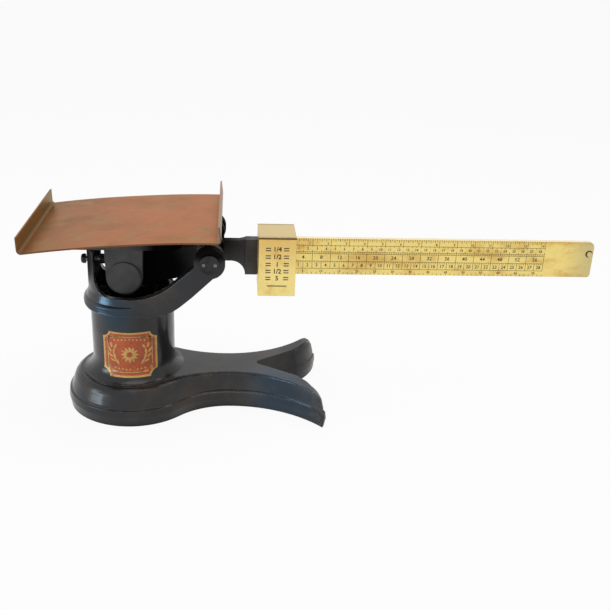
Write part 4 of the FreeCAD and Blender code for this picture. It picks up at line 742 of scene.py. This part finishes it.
# Badge

def give_finish_to_selected(piece, material):
    """Gives the selected faces a finish of their own."""
    piece.data.materials.append(material)
    piece.active_material_index = len(piece.data.materials) - 1
    bpy.ops.object.material_slot_assign()


def lay_on_column(piece, height, thickness):
    """Stands a flat piece in front of the column, presses it on and gives it a thickness."""
    piece.rotation_euler = (math.radians(90), 0, 0)
    piece.location = (0, -40 * MM, height)
    apply_place(piece)
    bpy.ops.object.mode_set(mode="EDIT")
    bpy.ops.mesh.select_all(action="SELECT")
    bpy.ops.mesh.quads_convert_to_tris()
    for axis, middle, steps in (((1, 0, 0), 0.0, 32), ((0, 0, 1), height, 24)):
        for step in range(-(steps // 2), steps // 2 + 1):
            spot = tuple(part * (middle + step * MM) for part in axis)
            bpy.ops.mesh.select_all(action="SELECT")
            bpy.ops.mesh.bisect(plane_co=spot, plane_no=axis)
    bpy.ops.object.mode_set(mode="OBJECT")
    apply_modifier(piece, "SHRINKWRAP", target=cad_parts["base_casting"], wrap_method="PROJECT",
                   use_project_y=True, use_positive_direction=True, use_negative_direction=True)
    apply_modifier(piece, "SOLIDIFY", thickness=thickness, offset=1.0)
    return piece


class SCALE_OT_apply_badge(ScaleOperator, bpy.types.Operator):
    """Put a plain printed badge with a rosette on the front of the column"""
    bl_idname = "scale.apply_badge"
    bl_label = "Apply the badge"

    def execute(self, context):
        badge = context.scene.scale_badge
        plaque = self.cut_plaque(badge, context)
        lay_on_column(plaque, badge.height, badge.film)
        settle(plaque, "stand", None)
        ornament = self.cut_ornament(badge)
        lay_on_column(ornament, badge.height, badge.film * 2)
        settle(ornament, "stand", finish_named("badge_gold", context))
        centre = self.cut_centre()
        lay_on_column(centre, badge.height, badge.film * 3)
        settle(centre, "stand", finish_named("badge_red", context))
        return {"FINISHED"}

    def cut_plaque(self, badge, context):
        """Rectangle with hollow corners; insets give its outline, rim, field, inner line and middle."""
        bpy.ops.mesh.primitive_plane_add(size=2)
        plaque = bpy.context.active_object
        plaque.name = "badge_plaque"
        plaque.scale = (badge.half_width, badge.half_height, 1)
        apply_place(plaque)
        plaque.data.materials.append(finish_named("badge_dark", context))
        bpy.ops.object.mode_set(mode="EDIT")
        bpy.ops.mesh.select_all(action="SELECT")
        bpy.ops.mesh.bevel(offset=badge.corner, segments=8, profile=0.1, affect="VERTICES")
        bpy.ops.mesh.select_all(action="SELECT")
        bands = ((0.35, "badge_gold"), (0.95, "badge_red"), (1.2, "badge_dark"), (0.22, "badge_gold"),
                 (0.4, "badge_red"))
        for width, name in bands:
            bpy.ops.mesh.inset(thickness=width * MM, depth=0)
            give_finish_to_selected(plaque, finish_named(name, context))
        bpy.ops.object.mode_set(mode="OBJECT")
        return plaque

    def cut_ornament(self, badge):
        """Rosette in the middle, two branches of leaves beside it and a row of beads above and below."""
        pieces = [self.cut_rosette(badge.petals)]
        for side in (-1, 1):
            for step, (x, y, turn) in enumerate(((7.2, -4.6, 62), (8.6, -1.6, 78), (9.0, 1.7, 98), (8.0, 4.8, 118))):
                pieces.append(self.cut_leaf(side * x, y, 90 - side * (90 - turn), 1.9 - 0.12 * step))
                pieces.append(self.cut_leaf(side * (x + 2.3), y + 0.5, 90 - side * (90 - turn) - side * 38, 1.6))
        for side in (-1, 1):
            for place in range(-4, 5):
                pieces.append(self.cut_bead(place * 2.1, side * 9.3 - side * 0.04 * place * place))
        return join(pieces, "badge_ornament")

    def cut_rosette(self, petals):
        """Circle whose every other point is drawn in, and whose points are rounded."""
        bpy.ops.mesh.primitive_circle_add(vertices=petals * 2, radius=5.6 * MM, fill_type="NGON")
        rosette = bpy.context.active_object
        for place, vertex in enumerate(rosette.data.vertices):
            vertex.select = place % 2 == 1
        self.shape_selected(rosette, 0.56)
        for place, vertex in enumerate(rosette.data.vertices):
            vertex.select = place % 2 == 0
        bpy.ops.object.mode_set(mode="EDIT")
        bpy.ops.mesh.bevel(offset=0.9 * MM, segments=4, affect="VERTICES")
        bpy.ops.object.mode_set(mode="OBJECT")
        return rosette

    def shape_selected(self, piece, factor):
        for face in piece.data.polygons:
            face.select = False
        for edge in piece.data.edges:
            edge.select = False
        bpy.ops.object.mode_set(mode="EDIT")
        bpy.ops.transform.resize(value=(factor, factor, 1), center_override=(0, 0, 0))
        bpy.ops.object.mode_set(mode="OBJECT")

    def cut_leaf(self, x, y, turn, half):
        """Pointed leaf: a circle drawn out along its own length."""
        bpy.ops.mesh.primitive_circle_add(vertices=12, radius=half * MM, fill_type="NGON",
                                          location=(x * MM, y * MM, 0), rotation=(0, 0, math.radians(turn)))
        leaf = bpy.context.active_object
        leaf.scale = (1.0, 0.36, 1)
        apply_place(leaf)
        return leaf

    def cut_bead(self, x, y):
        bpy.ops.mesh.primitive_circle_add(vertices=10, radius=0.5 * MM, fill_type="NGON",
                                          location=(x * MM, y * MM, 0))
        bead = bpy.context.active_object
        apply_place(bead)
        return bead

    def cut_centre(self):
        bpy.ops.mesh.primitive_circle_add(vertices=32, radius=1.7 * MM, fill_type="NGON")
        centre = bpy.context.active_object
        centre.name = "badge_centre"
        return centre


# Screws

def slotted_screw(place, direction, head, height, shank, length, turn):
    """Round-headed screw: place is under its head, direction points from its tip to its head."""
    bpy.ops.mesh.primitive_cylinder_add(vertices=28, radius=head, depth=height, location=(0, 0, height / 2))
    screw = bpy.context.active_object
    apply_place(screw)
    bpy.ops.object.mode_set(mode="EDIT")
    bpy.ops.mesh.select_all(action="DESELECT")
    bpy.ops.object.mode_set(mode="OBJECT")
    for face in screw.data.polygons:
        face.select = face.normal.z > 0.9
    bpy.ops.object.mode_set(mode="EDIT")
    bpy.ops.mesh.bevel(offset=height * 0.55, segments=4, affect="EDGES")
    bpy.ops.object.mode_set(mode="OBJECT")
    bpy.ops.mesh.primitive_cube_add(size=1, location=(0, 0, height), rotation=(0, 0, math.radians(turn)))
    blade = bpy.context.active_object
    blade.scale = (head * 3, head * 0.26, height * 1.1)
    apply_place(blade)
    apply_modifier(screw, "BOOLEAN", object=blade, operation="DIFFERENCE", solver="EXACT")
    make_active(blade)
    bpy.ops.object.delete()
    bpy.ops.mesh.primitive_cylinder_add(vertices=20, radius=shank, depth=length, location=(0, 0, -length / 2))
    whole = join([screw, bpy.context.active_object], "screw")
    whole.rotation_euler = Vector(direction).to_track_quat("Z", "Y").to_euler()
    whole.location = place
    apply_place(whole)
    return whole


class SCALE_OT_fit_screws(ScaleOperator, bpy.types.Operator):
    """Put slotted, rounded heads on the small screws"""
    bl_idname = "scale.fit_screws"
    bl_label = "Fit the slotted screws"

    def execute(self, context):
        self.fit_cap_screws(context)
        self.fit_yoke_screws(context)
        self.fit_bracket_screws(context)
        return {"FINISHED"}

    def fit_cap_screws(self, context):
        low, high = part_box("cap_screws")
        head, proud, shank, length = 0.95 * MM, 0.35 * MM, 0.6 * MM, 2.8 * MM
        screws = []
        for y, outward in ((low.y + proud, (0, -1, 0)), (high.y - proud, (0, 1, 0))):
            for x, turn in ((low.x + head, 20), (high.x - head, 105)):
                screws.append(slotted_screw((x, y, (low.z + high.z) / 2), outward, head, proud, shank, length, turn))
        self.replace_node(screws, "cap_screws", "bright_steel", "screw", context)

    def fit_yoke_screws(self, context):
        low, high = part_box("yoke_screws")
        head, height, shank = 2.4 * MM, 1.7 * MM, 1.5 * MM
        under = high.z - height
        screws = [slotted_screw((x, 0, under), (0, 0, 1), head, height, shank, under - low.z, turn)
                  for x, turn in ((low.x + head, 30), (high.x - head, 75))]
        self.replace_node(screws, "yoke_screws", "dark_steel", "beam_black", context)

    def fit_bracket_screws(self, context):
        low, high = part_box("bracket_screws")
        head, height, shank = 2.4 * MM, 1.7 * MM, 1.5 * MM
        over = low.z + height
        screws = [slotted_screw(((low.x + high.x) / 2, y, over), (0, 0, -1), head, height, shank, high.z - over, turn)
                  for y, turn in ((low.y + head, 10), (high.y - head, 50))]
        self.replace_node(screws, "bracket_screws", "dark_steel", "dark_steel", context)

    def replace_node(self, screws, node, slot, finish, context):
        whole = join(screws, node + "_slotted")
        settle(whole, "stand", finish_named(finish, context))
        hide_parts(node)


# Stage

def aim(place, target):
    return (Vector(target) - Vector(place)).to_track_quat("-Z", "Y").to_euler()


def add_lamp(name, place, target, size, power, colour=(1, 1, 1)):
    bpy.ops.object.light_add(type="AREA", location=place, rotation=aim(place, target))
    lamp = bpy.context.active_object
    lamp.name = name
    lamp.data.shape = "RECTANGLE"
    lamp.data.size, lamp.data.size_y = size
    lamp.data.energy = power
    lamp.data.color = colour
    return lamp


class SCALE_OT_set_stage(ScaleOperator, bpy.types.Operator):
    """Set up the floor, the lights and the camera"""
    bl_idname = "scale.set_stage"
    bl_label = "Set the stage"

    def execute(self, context):
        stage = context.scene.scale_stage
        self.add_floor(stage)
        self.light_room(context.scene, stage)
        self.add_camera(context.scene, stage)
        context.scene.view_settings.view_transform = "Standard"
        return {"FINISHED"}

    def add_floor(self, stage):
        deselect()
        bpy.ops.mesh.primitive_plane_add(size=60.0, location=(0.1, 0, -0.0002))
        floor = bpy.context.active_object
        floor.name = "floor"
        apply_place(floor)
        finish = Finish("floor_white")
        grain = finish.noise(2 * MM, 2)
        colour = tuple(stage.floor_colour)
        soft = finish.mix(finish.ramp(grain, 0.3, 0.7), colour, tuple(part * 0.985 for part in colour))
        finish.set(base_color=soft, roughness=0.8, specular_ior_level=0.1)
        glow = finish.add("ShaderNodeEmission", {"Color": (1.0, 1.0, 1.0), "Strength": 1.0})
        rays = finish.add("ShaderNodeLightPath")
        seen = finish.math("MAXIMUM", rays.outputs["Is Camera Ray"], rays.outputs["Is Glossy Ray"])
        seen = finish.math("MAXIMUM", seen, rays.outputs["Is Transmission Ray"])
        share = finish.math("MULTIPLY", seen, 0.92)
        both = finish.add("ShaderNodeMixShader", {0: share, 1: finish.surface.outputs[0], 2: glow.outputs[0]})
        finish.tree.links.new(both.outputs[0], finish.output.inputs["Surface"])
        floor.data.materials.append(finish.material)

    def light_room(self, scene, stage):
        """Soft light that is strong from the upper left and weak from the lower right, on a white ground."""
        world = bpy.data.worlds.new("room")
        scene.world = world
        world.use_nodes = True
        tree = world.node_tree
        tree.nodes.clear()
        sky = tree.nodes.new("ShaderNodeTexCoord")
        side = tree.nodes.new("ShaderNodeVectorMath")
        side.operation = "DOT_PRODUCT"
        side.inputs[1].default_value = (-0.55, 0.1, 0.83)
        strength = tree.nodes.new("ShaderNodeMapRange")
        strength.inputs["From Min"].default_value = -0.5
        strength.inputs["From Max"].default_value = 1.0
        strength.inputs["To Min"].default_value = 0.1 * stage.room_light
        strength.inputs["To Max"].default_value = stage.room_light
        tree.links.new(sky.outputs["Generated"], side.inputs[0])
        tree.links.new(side.outputs["Value"], strength.inputs["Value"])
        even = tree.nodes.new("ShaderNodeBackground")
        tree.links.new(strength.outputs[0], even.inputs["Strength"])
        white = tree.nodes.new("ShaderNodeBackground")
        white.inputs["Color"].default_value = (1.0, 1.0, 1.0, 1.0)
        white.inputs["Strength"].default_value = 1.0
        rays = tree.nodes.new("ShaderNodeLightPath")
        seen = rays.outputs["Is Camera Ray"]
        for kind in ("Is Glossy Ray", "Is Transmission Ray"):
            either = tree.nodes.new("ShaderNodeMath")
            either.operation = "MAXIMUM"
            tree.links.new(seen, either.inputs[0])
            tree.links.new(rays.outputs[kind], either.inputs[1])
            seen = either.outputs[0]
        both = tree.nodes.new("ShaderNodeMixShader")
        output = tree.nodes.new("ShaderNodeOutputWorld")
        tree.links.new(seen, both.inputs[0])
        tree.links.new(even.outputs[0], both.inputs[1])
        tree.links.new(white.outputs[0], both.inputs[2])
        tree.links.new(both.outputs[0], output.inputs["Surface"])
        add_lamp("window_lamp", (-0.85, -0.36, 0.14), (0.0, 0, 0.06), (0.4, 0.24), stage.window_light,
                 (0.72, 0.88, 1.0))
        add_lamp("low_lamp", (-0.74, -0.62, 0.2), (0.0, 0, 0.05), (0.2, 0.1), stage.low_light, (0.72, 0.88, 1.0))
        add_lamp("top_lamp", (0.1, -0.05, 0.85), (0.06, 0, 0.05), (0.8, 0.6), stage.top_light)

    def add_camera(self, scene, stage):
        turn = (Matrix.Rotation(-stage.yaw, 4, "Z") @ Matrix.Rotation(math.radians(90) - stage.pitch, 4, "X")
                @ Matrix.Rotation(stage.roll, 4, "Z"))
        bpy.ops.object.camera_add(location=stage.camera_place, rotation=turn.to_euler())
        camera = bpy.context.active_object
        camera.name = "photo_camera"
        camera.data.sensor_width = 36.0
        camera.data.lens = stage.lens
        camera.data.clip_start = 0.01
        scene.camera = camera


class SCALE_PT_panel(bpy.types.Panel):
    """Finishes and marks of the scale"""
    bl_idname = "SCALE_PT_panel"
    bl_label = "Postal scale"
    bl_space_type = "VIEW_3D"
    bl_region_type = "UI"
    bl_category = "Scale"

    def draw(self, context):
        layout = self.layout
        for operator in OPERATORS:
            layout.operator(operator.bl_idname)
        for name in SETTINGS:
            group = getattr(context.scene, name)
            box = layout.box()
            box.label(text=name.replace("_", " ").capitalize())
            for setting in type(group).__annotations__:
                box.prop(group, setting)


SETTINGS = {
    "scale_bar": ScaleBarSettings,
    "scale_badge": ScaleBadgeSettings,
    "scale_colours": ScaleColourSettings,
    "scale_stage": ScaleStageSettings,
}
OPERATORS = (
    SCALE_OT_japan_castings,
    SCALE_OT_finish_steel,
    SCALE_OT_finish_brass,
    SCALE_OT_finish_pan,
    SCALE_OT_graduate_bar,
    SCALE_OT_mark_poise,
    SCALE_OT_apply_badge,
    SCALE_OT_fit_screws,
    SCALE_OT_set_stage,
)
CLASSES = (*SETTINGS.values(), *OPERATORS, SCALE_PT_panel)


def register():
    for item in CLASSES:
        bpy.utils.register_class(item)
    for name, group in SETTINGS.items():
        setattr(bpy.types.Scene, name, bpy.props.PointerProperty(type=group))


def unregister():
    for name in SETTINGS:
        delattr(bpy.types.Scene, name)
    for item in reversed(CLASSES):
        bpy.utils.unregister_class(item)


def main():
    register()
    for operator in OPERATORS:
        deselect()
        group, name = operator.bl_idname.split(".")
        getattr(getattr(bpy.ops, group), name)()


if __name__ == "__main__":
    main()
